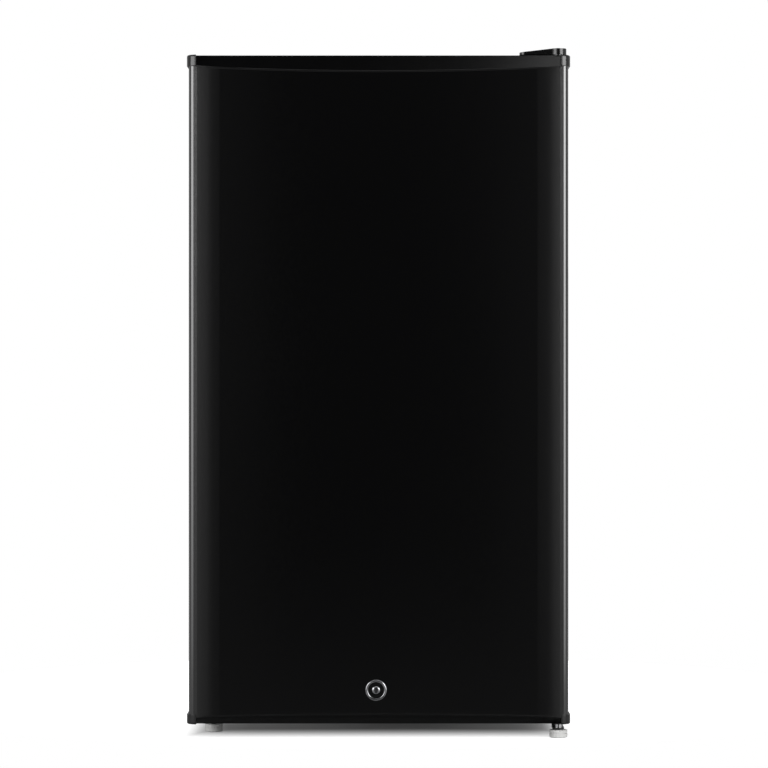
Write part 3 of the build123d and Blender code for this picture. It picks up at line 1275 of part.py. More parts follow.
def thermostat_housing():
    """White plastic box on the liner's right wall, open towards the wall."""
    x = (DIAL_LEFT, LINER_HALF)
    y = (DIAL_FRONT, DIAL_FRONT + DIAL_HOUSING_DEPTH)
    z = (DIAL_BOTTOM, DIAL_TOP)
    outer = block(x, y, z)
    outer = fillet(outer.faces().sort_by(Axis.X)[0].edges(), DIAL_HOUSING_ROUND)
    w = DIAL_HOUSING_WALL
    inner = block((x[0] + w, x[1] + OVERCUT), (y[0] + w, y[1] - w), (z[0] + w, z[1] - w))
    inner = fillet(inner.faces().sort_by(Axis.X)[0].edges(), DIAL_HOUSING_ROUND - w)
    shaft_hole = knob_rod(y[0] - OVERCUT, y[0] + w + OVERCUT, KNOB_SHAFT + KNOB_GAP)
    tube_hole = rod(
        (x[0] - OVERCUT, sensor_y(), KNOB_Z),
        (x[0] + DIAL_HOUSING_ROUND, sensor_y(), KNOB_Z),
        SENSOR_TUBE + KNOB_GAP,
    )
    return outer - inner - shaft_hole - tube_hole


def sensor_y():
    """Where the sensing tube leaves the switch."""
    return DIAL_FRONT + DIAL_HOUSING_WALL + SWITCH_DEPTH / 2


def thermostat_switch():
    """Thermostat switch behind the housing's front, with the bore that the knob's shaft turns in."""
    front = DIAL_FRONT + DIAL_HOUSING_WALL
    half = SWITCH_SIZE / 2
    body = block(
        (KNOB_X - half, KNOB_X + half),
        (front, front + SWITCH_DEPTH),
        (KNOB_Z - half, KNOB_Z + half),
    )
    return body - knob_rod(front - OVERCUT, SHAFT_END + OVERCUT, KNOB_SHAFT + PIN_CLEARANCE)


def sensing_tube():
    """Thin metal tube from the switch to the chiller's side wall."""
    wall = CHILLER_RIGHT + SENSOR_TUBE + SENSOR_GAP
    start = KNOB_X - SWITCH_SIZE / 2
    y = sensor_y()
    return pipe(
        [(start, y, KNOB_Z), (wall, y, KNOB_Z), (wall, y + SENSOR_RUN, KNOB_Z)],
        SENSOR_TUBE,
        SENSOR_BEND,
    )


def thermostat_knob():
    """Round dial with a finger bar across its face and a shaft into the switch."""
    back = DIAL_FRONT - KNOB_GAP
    front = back - KNOB_DEPTH
    face = back - KNOB_SKIRT
    skirt = knob_rod(face, back, KNOB_RADIUS)
    skirt = fillet(skirt.edges().filter_by(GeomType.CIRCLE).sort_by(Axis.Y)[0], KNOB_ROUND)
    reach = KNOB_RADIUS - KNOB_ROUND
    bar = block(
        (KNOB_X - KNOB_GRIP / 2, KNOB_X + KNOB_GRIP / 2),
        (front, back),
        (KNOB_Z - reach, KNOB_Z + reach),
    )
    bar = fillet(bar.faces().sort_by(Axis.Y)[0].edges(), KNOB_ROUND)
    return skirt + bar + knob_rod(back, SHAFT_END, KNOB_SHAFT)


# Feet

def front_foot(x, y):
    """Round plastic foot with a hole for its stud and a groove round its side."""
    pad = post(x, y, (0, FOOT_HEIGHT), FOOT_RADIUS)
    pad = fillet(pad.edges().filter_by(GeomType.CIRCLE).sort_by(Axis.Z)[0], FOOT_ROUND)
    waist = (FOOT_GROOVE, FOOT_GROOVE + FOOT_WAIST)
    groove = post(x, y, waist, FOOT_RADIUS + OVERCUT) - post(x, y, waist, FOOT_RADIUS - FOOT_WAIST)
    hole = post(x, y, (FOOT_FLOOR, FOOT_HEIGHT + OVERCUT), FOOT_STUD + PIN_CLEARANCE)
    return pad - groove - hole


def left_foot_stud():
    """Steel stud through the front rail's flange, with a hexagon head above it."""
    shank = post(LEFT_FOOT_X, LEFT_FOOT_Y, (STUD_END, DECK_TOP), FOOT_STUD)
    hexagon = Pos(LEFT_FOOT_X, LEFT_FOOT_Y) * RegularPolygon(STUD_HEAD, 6)
    return shank + slab(hexagon, (DECK_TOP, DECK_TOP + STUD_HEAD_HEIGHT))


# Cooling unit

def grommet_places():
    """Middle of each rubber mount of the compressor."""
    across = FOOT_PLATE_LONG - GROMMET_INSET
    along = FOOT_PLATE_SHORT - GROMMET_INSET
    return [(COMPRESSOR_X + i * across, COMPRESSOR_Y + j * along) for i in SIDES for j in SIDES]


def shell_form(grow):
    """The compressor's welded steel shell, grown by a clearance."""
    outline = Pos(COMPRESSOR_X, COMPRESSOR_Y) * Ellipse(COMPRESSOR_LONG + grow, COMPRESSOR_SHORT + grow)
    shell = slab(outline, (SHELL_BOTTOM - grow, SHELL_TOP + grow))
    shell = fillet(shell.edges().sort_by(Axis.Z)[-1], COMPRESSOR_DOME)
    shell = fillet(shell.edges().sort_by(Axis.Z)[0], COMPRESSOR_BELLY)
    band = Pos(COMPRESSOR_X, COMPRESSOR_Y) * Ellipse(
        COMPRESSOR_LONG + SEAM_OUT + grow, COMPRESSOR_SHORT + SEAM_OUT + grow
    )
    level = SHELL_BOTTOM + SEAM_LEVEL
    return shell + slab(band, (level - SEAM_HEIGHT / 2 - grow, level + SEAM_HEIGHT / 2 + grow))


def compressor():
    """Hermetic compressor: a domed shell with a welded seam, a foot plate and two tube stubs."""
    foot_outline = RectangleRounded(2 * FOOT_PLATE_LONG, 2 * FOOT_PLATE_SHORT, GROMMET_INSET)
    foot = slab(
        Pos(COMPRESSOR_X, COMPRESSOR_Y) * foot_outline,
        (FOOT_PLATE_BOTTOM, FOOT_PLATE_TOP),
    )
    holes = [
        post(x, y, (FOOT_PLATE_BOTTOM - OVERCUT, FOOT_PLATE_TOP + OVERCUT), GROMMET_NECK)
        for x, y in grommet_places()
    ]
    stubs = [
        rod((COMPRESSOR_X, y, z), (STUB_X, y, z), STUB_RADIUS)
        for y, z in (
            (COMPRESSOR_Y - STUB_SPREAD, SUCTION_LEVEL),
            (COMPRESSOR_Y + STUB_SPREAD, DISCHARGE_LEVEL),
        )
    ]
    return (foot - holes) + shell_form(0) + stubs


def compressor_grommets():
    """Rubber mounts between the deck and the compressor's foot plate."""
    mounts = []
    top = FOOT_PLATE_TOP + GROMMET_CAP
    for x, y in grommet_places():
        mount = post(x, y, (DECK_TOP, FOOT_PLATE_BOTTOM), GROMMET_RADIUS)
        mount += post(x, y, (FOOT_PLATE_BOTTOM, FOOT_PLATE_TOP), GROMMET_NECK)
        mount += post(x, y, (FOOT_PLATE_TOP, top), GROMMET_RADIUS)
        mount -= post(x, y, (DECK_TOP - OVERCUT, top + OVERCUT), BOLT_RADIUS)
        mounts.append(mount)
    return Compound(mounts)


def compressor_bolts():
    """Bolts through the rubber mounts into the deck."""
    bolts = []
    seat = FOOT_PLATE_TOP + GROMMET_CAP
    for x, y in grommet_places():
        head = slab(Pos(x, y) * RegularPolygon(BOLT_HEAD, 6), (seat, seat + BOLT_HEAD_HEIGHT))
        bolts.append(post(x, y, (CASE_BOTTOM, seat), BOLT_RADIUS) + head)
    return Compound(bolts)


def relay_cover():
    """Black plastic cover over the start relay and terminals at the compressor's end."""
    end = COMPRESSOR_X + COMPRESSOR_LONG
    cover = block(
        (end - RELAY_WIDTH / 2, end + RELAY_WIDTH),
        (COMPRESSOR_Y - RELAY_DEPTH / 2, COMPRESSOR_Y + RELAY_DEPTH / 2),
        (DECK_TOP + RELAY_BASE, DECK_TOP + RELAY_BASE + RELAY_HEIGHT),
    )
    cover = fillet(cover.faces().sort_by(Axis.X)[-1].edges(), RELAY_ROUND)
    return cover - shell_form(RELAY_CLEARANCE)


def discharge_tube():
    """Copper tube from the compressor up to the condenser's first pass."""
    y = COMPRESSOR_Y + STUB_SPREAD
    return pipe(
        [
            (STUB_X, y, DISCHARGE_LEVEL),
            (RISER_X, y, DISCHARGE_LEVEL),
            (RISER_X, CONDENSER_Y, DISCHARGE_LEVEL),
            (RISER_X, CONDENSER_Y, CONDENSER_TOP),
            (-CONDENSER_HALF, CONDENSER_Y, CONDENSER_TOP),
        ],
        TUBE_RADIUS,
        TUBE_BEND,
    )


def condenser_tube():
    """Steel tube folded to and fro down the back, ending in the line down to the drier."""
    points = []
    for number in range(CONDENSER_PASSES):
        z = CONDENSER_TOP - number * CONDENSER_PITCH
        way = 1 if number % 2 else -1
        points += [(way * CONDENSER_HALF, CONDENSER_Y, z), (-way * CONDENSER_HALF, CONDENSER_Y, z)]
    points[-1] = (LIQUID_LINE_X, CONDENSER_Y, CONDENSER_BOTTOM)
    turn = DRIER_TOP + 2 * TUBE_BEND
    points += [
        (LIQUID_LINE_X, CONDENSER_Y, turn),
        (LIQUID_LINE_X, DRIER_Y, turn),
        (LIQUID_LINE_X, DRIER_Y, DRIER_TOP),
    ]
    turns = 2 * (CONDENSER_PASSES - 1)
    bends = [CONDENSER_BEND] * turns + [TUBE_BEND] * 3
    return pipe(points, TUBE_RADIUS, bends)


def condenser_wires():
    """Upright steel wires welded to both sides of the condenser's passes."""
    wires = []
    out = TUBE_RADIUS + WIRE_GAP + WIRE_RADIUS
    for number in range(WIRE_COUNT):
        x = (number - (WIRE_COUNT - 1) / 2) * WIRE_PITCH
        for side in SIDES:
            y = CONDENSER_Y + side * out
            low = (x, y, CONDENSER_BOTTOM - WIRE_OVERRUN)
            high = (x, y, CONDENSER_TOP + WIRE_OVERRUN)
            wires.append(rod(low, high, WIRE_RADIUS))
    return Compound(wires)


def clip_places():
    """Middle of each condenser clip, on the second pass from the top and from the bottom."""
    levels = (CONDENSER_TOP - CONDENSER_PITCH, CONDENSER_BOTTOM + CONDENSER_PITCH)
    return [(side * CLIP_X, z) for side in SIDES for z in levels]


def condenser_clips():
    """Plastic stand-offs that hold the condenser clear of the back panel."""
    clips = []
    for x, z in clip_places():
        pillar = block(
            (x - CLIP_WIDTH / 2, x + CLIP_WIDTH / 2),
            (CASE_BACK, CONDENSER_Y),
            (z - CLIP_HEIGHT / 2, z + CLIP_HEIGHT / 2),
        )
        tube = rod((x - CLIP_WIDTH, CONDENSER_Y, z), (x + CLIP_WIDTH, CONDENSER_Y, z), TUBE_RADIUS + CLIP_GAP)
        flange = block(
            (x - CLIP_WIDTH / 2, x + CLIP_WIDTH / 2),
            (CASE_BACK, CASE_BACK + RAIL_SHEET),
            (z - CLIP_HEIGHT / 2 - CLIP_TAB, z + CLIP_HEIGHT / 2),
        )
        clips.append(pillar + flange - tube - clip_screw_shanks())
    return Compound(clips)


def clip_screw_shanks():
    """Shanks of the condenser clips' screws, as holes."""
    head = CASE_BACK + RAIL_SHEET
    return [rod((x, head - SCREW_LENGTH, z), (x, head, z), SCREW_RADIUS) for x, z in clip_screw_places()]


def clip_screw_places():
    """Each clip is held by one screw below its post."""
    return [(x, z - CLIP_HEIGHT / 2 - CLIP_TAB / 2) for x, z in clip_places()]


def filter_drier():
    """Copper drier: a cylinder necked down at both ends."""
    bottom = DRIER_TOP - DRIER_LENGTH
    half = Polyline(
        (0, bottom),
        (TUBE_RADIUS, bottom),
        (DRIER_RADIUS, bottom + DRIER_TAPER),
        (DRIER_RADIUS, DRIER_TOP - DRIER_TAPER),
        (TUBE_RADIUS, DRIER_TOP),
        (0, DRIER_TOP),
        close=True,
    )
    turned = revolve(Plane.XZ * make_face(half), Axis.Z)
    return Pos(LIQUID_LINE_X, DRIER_Y, 0) * turned


def capillary_tube():
    """Thin copper tube from the drier into the insulation."""
    bottom = DRIER_TOP - DRIER_LENGTH
    low = bottom - 2 * TUBE_BEND
    return pipe(
        [
            (LIQUID_LINE_X, DRIER_Y, bottom),
            (LIQUID_LINE_X, DRIER_Y, low),
            (CAPILLARY_X, DRIER_Y, low),
            (CAPILLARY_X, LINE_Y, low),
            (CAPILLARY_X, LINE_Y, ALCOVE_TOP),
        ],
        CAPILLARY_RADIUS,
        TUBE_BEND,
    )


def suction_tube():
    """Copper return tube from the insulation to the compressor."""
    y = COMPRESSOR_Y - STUB_SPREAD
    return pipe(
        [
            (STUB_X, y, SUCTION_LEVEL),
            (SUCTION_X, y, SUCTION_LEVEL),
            (SUCTION_X, LINE_Y, ALCOVE_TOP - SUCTION_STRAIGHT),
            (SUCTION_X, LINE_Y, ALCOVE_TOP),
        ],
        SUCTION_RADIUS,
        [TUBE_BEND, SUCTION_STRAIGHT / 2],
    )


def line_ends():
    """Where both lines go on into the insulation, as holes."""
    return [
        post(x, LINE_Y, (ALCOVE_TOP - OVERCUT, ALCOVE_TOP + LINE_GROMMET_LIP), GROMMET_NECK_RADIUS)
        for x in (CAPILLARY_X, SUCTION_X)
    ]


def line_grommets():
    """Rubber grommets where the lines pass through the top of the compressor space."""
    grommets = []
    for x, radius in ((CAPILLARY_X, CAPILLARY_RADIUS), (SUCTION_X, SUCTION_RADIUS)):
        under = ALCOVE_TOP - CASE_SHEET
        lip = post(x, LINE_Y, (under - LINE_GROMMET_LIP, under), GROMMET_LIP)
        neck = post(x, LINE_Y, (under, ALCOVE_TOP + LINE_GROMMET_LIP), GROMMET_NECK_RADIUS)
        bore = post(x, LINE_Y, (under - LINE_GROMMET_LIP - OVERCUT, ALCOVE_TOP), radius + PIN_CLEARANCE)
        grommets.append(lip + neck - bore)
    return Compound(grommets)


def cord_gland():
    """Rubber gland in the deck's rear edge, where the mains lead goes in."""
    z = DECK_TOP + GLAND_HEIGHT
    inside = CASE_BACK - RAIL_SHEET
    neck = rod((GLAND_X, inside, z), (GLAND_X, CASE_BACK, z), GLAND_NECK)
    front = rod((GLAND_X, inside - GLAND_LIP, z), (GLAND_X, inside, z), GLAND_RADIUS)
    back = rod((GLAND_X, CASE_BACK, z), (GLAND_X, CASE_BACK + GLAND_LENGTH, z), GLAND_RADIUS)
    back = fillet(back.edges().filter_by(GeomType.CIRCLE).sort_by(Axis.Y)[-1], GLAND_LIP)
    bore = rod((GLAND_X, inside - GLAND_LENGTH, z), (GLAND_X, CASE_BACK + 2 * GLAND_LENGTH, z), GLAND_BORE)
    return neck + front + back - bore


NODES = {
    "outer_case": outer_case,
    "back_panel": back_panel,
    "base_panel": base_panel,
    "front_rail": front_rail,
    "inner_liner": inner_liner,
    "cabinet_foam": cabinet_foam,
    "compressor_deck": compressor_deck,
    "rear_feet": rear_feet,
    "upper_hinge_plate": upper_hinge_plate,
    "lower_hinge_bracket": lower_hinge_bracket,
    "hinge_pins": hinge_pins,
    "hinge_bushes": hinge_bushes,
    "screws": screws,
    "hinge_cover": hinge_cover,
    "door_panel": door_panel,
    "door_top_cap": door_top_cap,
    "door_bottom_cap": door_bottom_cap,
    "door_liner": door_liner,
    "door_foam": door_foam,
    "door_grip": door_grip,
    "door_gasket": door_gasket,
    "seal_magnets": seal_magnets,
    "lock_bezel": lock_bezel,
    "lock_barrel": lock_barrel,
    "lock_nut": lock_nut,
    "lock_plug": lock_plug,
    "lock_cam": lock_cam,
    "lock_keeper": lock_keeper,
    "lower_shelf_glass": lambda: shelf_glass(SHELF_LEVELS[LOWER_SHELF]),
    "lower_shelf_trims": lambda: shelf_trims(SHELF_LEVELS[LOWER_SHELF]),
    "upper_shelf_glass": lambda: shelf_glass(SHELF_LEVELS[UPPER_SHELF]),
    "upper_shelf_trims": lambda: shelf_trims(SHELF_LEVELS[UPPER_SHELF]),
    "evaporator": evaporator,
    "evaporator_hangers": evaporator_hangers,
    "chiller_frame": chiller_frame,
    "chiller_flap": chiller_flap,
    "drip_tray": drip_tray,
    "thermostat_housing": thermostat_housing,
    "thermostat_switch": thermostat_switch,
    "thermostat_knob": thermostat_knob,
    "sensing_tube": sensing_tube,
    "front_left_foot": lambda: front_foot(LEFT_FOOT_X, LEFT_FOOT_Y),
    "front_right_foot": lambda: front_foot(HINGE_X, HINGE_Y),
    "left_foot_stud": left_foot_stud,
    "compressor": compressor,
    "compressor_grommets": compressor_grommets,
    "compressor_bolts": compressor_bolts,
    "relay_cover": relay_cover,
    "discharge_tube": discharge_tube,
    "condenser_tube": condenser_tube,
    "condenser_wires": condenser_wires,
    "condenser_clips": condenser_clips,
    "filter_drier": filter_drier,
    "capillary_tube": capillary_tube,
    "suction_tube": suction_tube,
    "line_grommets": line_grommets,
    "cord_gland": cord_gland,
}
for name, base, height in zip(RACK_NAMES, RACK_BASES, RACK_HEIGHTS):
    NODES[name] = lambda base=base, height=height: rack(base, height)

os.makedirs("parts", exist_ok=True)
for name, make in NODES.items():
    export_step(make(), f"parts/{name}.step")
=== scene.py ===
import math

import bmesh
import bpy
from mathutils import Matrix, Vector


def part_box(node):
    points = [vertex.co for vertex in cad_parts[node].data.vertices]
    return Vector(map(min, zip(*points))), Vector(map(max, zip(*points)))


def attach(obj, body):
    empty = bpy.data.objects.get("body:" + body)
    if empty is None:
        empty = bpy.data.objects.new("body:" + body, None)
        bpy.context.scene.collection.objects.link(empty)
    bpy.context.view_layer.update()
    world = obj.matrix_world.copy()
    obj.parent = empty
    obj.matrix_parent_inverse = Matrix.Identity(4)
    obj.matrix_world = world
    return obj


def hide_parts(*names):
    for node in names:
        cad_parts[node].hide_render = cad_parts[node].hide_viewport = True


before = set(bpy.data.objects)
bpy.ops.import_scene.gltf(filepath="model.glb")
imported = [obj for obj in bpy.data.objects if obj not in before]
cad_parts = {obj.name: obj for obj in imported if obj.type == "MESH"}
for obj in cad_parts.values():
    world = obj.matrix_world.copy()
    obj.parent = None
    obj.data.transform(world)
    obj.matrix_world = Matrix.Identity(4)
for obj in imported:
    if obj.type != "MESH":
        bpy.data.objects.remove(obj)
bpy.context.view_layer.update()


# Outer case: one steel sheet folded over both sides and the top, with a fine grain rolled into it and
# satin black paint over that. The rail under the door is folded from the same painted sheet.

NOISE = "ShaderNodeTexNoise"
CELLS = "ShaderNodeTexVoronoi"
TEXTURE_LOW = 0.3
TEXTURE_HIGH = 0.7


def make_finish(name, colour, roughness, metallic=0.0):
    """A node material of one colour, gloss and metalness, which later calls vary over the surface."""
    finish = bpy.data.materials.new(name)
    finish.use_nodes = True
    shader = finish.node_tree.nodes["Principled BSDF"]
    shader.inputs["Base Color"].default_value = (*colour, 1)
    shader.inputs["Roughness"].default_value = roughness
    shader.inputs["Metallic"].default_value = metallic
    return finish


def lay_texture(finish, kind, scale, stretch=(1, 1, 1), output=0):
    """A texture that lies still on the piece, at a scale in cells per metre that each axis can stretch."""
    tree = finish.node_tree
    place = tree.nodes.new("ShaderNodeTexCoord")
    mapping = tree.nodes.new("ShaderNodeMapping")
    texture = tree.nodes.new(kind)
    mapping.inputs["Scale"].default_value = stretch
    texture.inputs["Scale"].default_value = scale
    tree.links.new(place.outputs["Object"], mapping.inputs["Vector"])
    tree.links.new(mapping.outputs["Vector"], texture.inputs["Vector"])
    return texture.outputs[output]


def vary_colour(finish, texture, dark, light):
    """The colour runs from dark to light as the texture rises."""
    tree = finish.node_tree
    ramp = tree.nodes.new("ShaderNodeValToRGB")
    first, last = ramp.color_ramp.elements
    first.position = TEXTURE_LOW
    last.position = TEXTURE_HIGH
    first.color = (*dark, 1)
    last.color = (*light, 1)
    tree.links.new(texture, ramp.inputs["Fac"])
    tree.links.new(ramp.outputs["Color"], tree.nodes["Principled BSDF"].inputs["Base Color"])


def vary_gloss(finish, texture, low, high):
    """The roughness runs from low to high as the texture rises."""
    tree = finish.node_tree
    span = tree.nodes.new("ShaderNodeMapRange")
    span.inputs["From Min"].default_value = TEXTURE_LOW
    span.inputs["From Max"].default_value = TEXTURE_HIGH
    span.inputs["To Min"].default_value = low
    span.inputs["To Max"].default_value = high
    tree.links.new(texture, span.inputs["Value"])
    tree.links.new(span.outputs["Result"], tree.nodes["Principled BSDF"].inputs["Roughness"])


def emboss(finish, texture, height):
    """The surface rises with the texture, by a height in metres."""
    tree = finish.node_tree
    bump = tree.nodes.new("ShaderNodeBump")
    bump.inputs["Distance"].default_value = height
    tree.links.new(texture, bump.inputs["Height"])
    tree.links.new(bump.outputs["Normal"], tree.nodes["Principled BSDF"].inputs["Normal"])


def coat(finish, *names):
    """Gives CAD nodes this finish alone."""
    for name in names:
        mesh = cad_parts[name].data
        mesh.materials.clear()
        mesh.materials.append(finish)


case_paint = make_finish("case_paint", (0.0095, 0.0095, 0.0102), 0.40)
paint_depth = lay_texture(case_paint, NOISE, 9)
vary_colour(case_paint, paint_depth, (0.0085, 0.0085, 0.0092), (0.0105, 0.0105, 0.0112))
vary_gloss(case_paint, lay_texture(case_paint, NOISE, 260), 0.37, 0.43)
emboss(case_paint, lay_texture(case_paint, CELLS, 620), 0.00006)
coat(case_paint, "outer_case", "front_rail")


# Back and base: bare galvanised sheet, folded round the compressor's space and tucked into the case.
# The zinc has frozen into flat crystals a centimetre wide that each catch the light in their own way.

galvanised = make_finish("galvanised", (0.57, 0.58, 0.59), 0.44, 1.0)
crystals = lay_texture(galvanised, CELLS, 95, output=1)
vary_colour(galvanised, crystals, (0.52, 0.53, 0.54), (0.62, 0.63, 0.64))
vary_gloss(galvanised, crystals, 0.40, 0.48)
emboss(galvanised, lay_texture(galvanised, NOISE, 260), 0.00002)
coat(galvanised, "back_panel", "base_panel", "compressor_deck")


# Insulation: polyurethane foam that is poured between the case and the liner, and into the door. It
# sets to a cream colour and shows only where a seam or a hole lets it be seen.

foam = make_finish("foam", (0.70, 0.60, 0.38), 0.85)
vary_colour(foam, lay_texture(foam, NOISE, 60), (0.62, 0.51, 0.30), (0.74, 0.65, 0.44))
emboss(foam, lay_texture(foam, CELLS, 700), 0.0003)
coat(foam, "cabinet_foam", "door_foam")


# Inner liner: one sheet of white polystyrene, drawn hot into a mould with its shelf ledges and its step.
# The door's inside is drawn from the same sheet, and both keep a faint satin skin from the mould.

liner_white = make_finish("liner_white", (0.77, 0.78, 0.77), 0.36)
vary_colour(liner_white, lay_texture(liner_white, NOISE, 5), (0.75, 0.76, 0.75), (0.79, 0.80, 0.79))
vary_gloss(liner_white, lay_texture(liner_white, NOISE, 40), 0.32, 0.42)
emboss(liner_white, lay_texture(liner_white, NOISE, 900), 0.00002)
coat(liner_white, "inner_liner", "door_liner")


# Hinges: a zinc-plated plate on the case's top and a black bracket at its foot, each with a bright turned
# pin. The door turns on black nylon bushes pressed into its end caps.

zinc_steel = make_finish("zinc_steel", (0.62, 0.63, 0.64), 0.30, 1.0)
vary_colour(zinc_steel, lay_texture(zinc_steel, NOISE, 140), (0.55, 0.56, 0.57), (0.67, 0.68, 0.69))
vary_gloss(zinc_steel, lay_texture(zinc_steel, NOISE, 400, (1, 1, 0.15)), 0.24, 0.38)
coat(zinc_steel, "upper_hinge_plate")

turned_steel = make_finish("turned_steel", (0.56, 0.56, 0.57), 0.14, 1.0)
vary_colour(turned_steel, lay_texture(turned_steel, NOISE, 260), (0.51, 0.51, 0.52), (0.60, 0.60, 0.61))
vary_gloss(turned_steel, lay_texture(turned_steel, NOISE, 300, (0.1, 0.1, 9)), 0.10, 0.19)
coat(turned_steel, "hinge_pins")

enamel = make_finish("black_enamel", (0.010, 0.010, 0.011), 0.30)
vary_colour(enamel, lay_texture(enamel, NOISE, 45), (0.008, 0.008, 0.009), (0.016, 0.016, 0.016))
vary_gloss(enamel, lay_texture(enamel, NOISE, 120), 0.24, 0.40)
emboss(enamel, lay_texture(enamel, NOISE, 450), 0.00005)
coat(enamel, "lower_hinge_bracket")

nylon = make_finish("black_nylon", (0.012, 0.012, 0.012), 0.42)
vary_colour(nylon, lay_texture(nylon, NOISE, 200), (0.009, 0.009, 0.009), (0.015, 0.015, 0.015))
vary_gloss(nylon, lay_texture(nylon, NOISE, 500), 0.36, 0.50)
coat(nylon, "hinge_bushes")


# Screws: zinc-plated, with a domed head and a cross recess. They hold the lower hinge to the case and the
# condenser's four clips to the back. The three that hold the upper hinge, under its cover, are blackened.

MM = 0.001
MERGE_DISTANCE = 1e-6
HEAD_RADIUS = 4.2
HEAD_HEIGHT = 1.8
SHANK_RADIUS = 2.0
SHANK_LENGTH = 8.0
POINT_LENGTH = 1.2
POINT_RADIUS = 0.4
RECESS_SPAN = 4.8
RECESS_WIDTH = 1.0
RECESS_DEPTH = 1.3
RECESS_MOUTH = 1.0
SCREW_TWIST = 37
HINGE_PLATE_TOP = 845.0
BRACKET_FACE = -167.5
CLIP_FACE = 188.5
TOP_SCREWS = [(215.0, -148.0), (225.9, -124.5), (215.0, -101.0)]
BRACKET_SCREWS = [(209.0, 33.0), (209.0, 49.0)]
CLIP_SCREWS = [(-150.0, 735.0), (-150.0, 312.0), (150.0, 735.0), (150.0, 312.0)]


def turn_up(profile, steps=48):
    """A bmesh turned about the Z axis from (radius, height) pairs in millimetres."""
    piece = bmesh.new()
    points = [piece.verts.new((radius * MM, 0, height * MM)) for radius, height in profile]
    edges = [piece.edges.new(pair) for pair in zip(points, points[1:])]
    bmesh.ops.spin(
        piece, geom=points + edges, cent=(0, 0, 0), axis=(0, 0, 1), angle=math.tau, steps=steps,
        use_merge=True,
    )
    bmesh.ops.remove_doubles(piece, verts=piece.verts, dist=MERGE_DISTANCE)
    bmesh.ops.recalc_face_normals(piece, faces=piece.faces)
    return piece


def add_box(piece, low, high):
    """Adds a box to a bmesh, between two corners in millimetres, and returns its vertices."""
    size = [b - a for a, b in zip(low, high)]
    middle = [(a + b) / 2 for a, b in zip(low, high)]
    place = Matrix.Translation(Vector(middle) * MM) @ Matrix.Diagonal((*(s * MM for s in size), 1))
    return bmesh.ops.create_cube(piece, size=1, matrix=place)["verts"]


def cut_out(name, piece, cutter):
    """The mesh of a bmesh with the cutter's shape taken out of it."""
    meshes = [bpy.data.meshes.new(name), bpy.data.meshes.new(name + "_cutter")]
    objects = []
    for shape, mesh in zip((piece, cutter), meshes):
        shape.to_mesh(mesh)
        shape.free()
        objects.append(bpy.data.objects.new(mesh.name, mesh))
        bpy.context.scene.collection.objects.link(objects[-1])
    taking = objects[0].modifiers.new("recess", "BOOLEAN")
    taking.operation = "DIFFERENCE"
    taking.object = objects[1]
    taking.use_self = True
    whole = objects[0].evaluated_get(bpy.context.evaluated_depsgraph_get())
    result = bpy.data.meshes.new_from_object(whole)
    for thing in objects:
        bpy.data.objects.remove(thing)
    return result


def set_down(name, piece, finish, body, crease=30):
    """A shaded object of a bmesh, which rides on a body and takes the given finish."""
    mesh = bpy.data.meshes.new(name)
    piece.to_mesh(mesh)
    piece.free()
    mesh.shade_smooth()
    mesh.set_sharp_from_angle(angle=math.radians(crease))
    mesh.materials.append(finish)
    obj = bpy.data.objects.new(name, mesh)
    bpy.context.scene.collection.objects.link(obj)
    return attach(obj, body)


blank = turn_up([
    (0, HEAD_HEIGHT), (1.6, 1.74), (2.7, 1.50), (3.5, 1.10), (4.0, 0.60), (HEAD_RADIUS, 0.15),
    (HEAD_RADIUS, 0), (SHANK_RADIUS, 0), (SHANK_RADIUS, -SHANK_LENGTH + POINT_LENGTH),
    (POINT_RADIUS, -SHANK_LENGTH), (0, -SHANK_LENGTH),
])
cross = bmesh.new()
for along, across in ((RECESS_SPAN, RECESS_WIDTH), (RECESS_WIDTH, RECESS_SPAN)):
    add_box(
        cross, (-along / 2, -across / 2, HEAD_HEIGHT - RECESS_DEPTH),
        (along / 2, across / 2, HEAD_HEIGHT + RECESS_MOUTH),
    )
one_screw = cut_out("one_screw", blank, cross)

forward = Matrix.Rotation(math.radians(90), 4, "X")
backward = Matrix.Rotation(math.radians(-90), 4, "X")
screw_places = [Matrix.Translation(Vector((x, y, HINGE_PLATE_TOP)) * MM) for x, y in TOP_SCREWS]
screw_places += [Matrix.Translation(Vector((x, BRACKET_FACE, z)) * MM) @ forward for x, z in BRACKET_SCREWS]
screw_places += [Matrix.Translation(Vector((x, CLIP_FACE, z)) * MM) @ backward for x, z in CLIP_SCREWS]
screw_set = bmesh.new()
for turn, place in enumerate(screw_places):
    known = set(screw_set.verts)
    screw_set.from_mesh(one_screw)
    added = [vertex for vertex in screw_set.verts if vertex not in known]
    twist = Matrix.Rotation(math.radians(SCREW_TWIST * turn), 4, "Z")
    bmesh.ops.transform(screw_set, matrix=place @ twist, verts=added)
    if turn < len(TOP_SCREWS):
        for face in screw_set.faces:
            face.material_index = 1
cross_screws = set_down("cross_screws", screw_set, zinc_steel, "cabinet")
cross_screws.data.materials.append(enamel)
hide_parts("screws")


# Black mouldings: the door's two end caps, the hinge cover and the grip pocket are moulded in black
# plastic with a fine satin grain. They snap on, so no screws show. The bottom cap is glossy at its ends
# and along its lip, and dull on the slope that faces the floor.

SLOPE_TILT = -0.6
CAP_EDGE_ROUND = 0.2
FLAT_ANGLE = 0.5
SHARP_ANGLE = 50
SOFT_CREASE = 40
DULL_IOR = 1.1


def mould_black(name, roughness):
    """The finish of a black moulding, whose grain varies its roughness by a tenth each way."""
    finish = make_finish(name, (0.0013, 0.0013, 0.0014), roughness)
    vary_colour(finish, lay_texture(finish, NOISE, 25), (0.0011, 0.0011, 0.0012), (0.0015, 0.0015, 0.0016))
    vary_gloss(finish, lay_texture(finish, NOISE, 500), 0.9 * roughness, 1.1 * roughness)
    emboss(finish, lay_texture(finish, NOISE, 1800), 0.00001)
    return finish


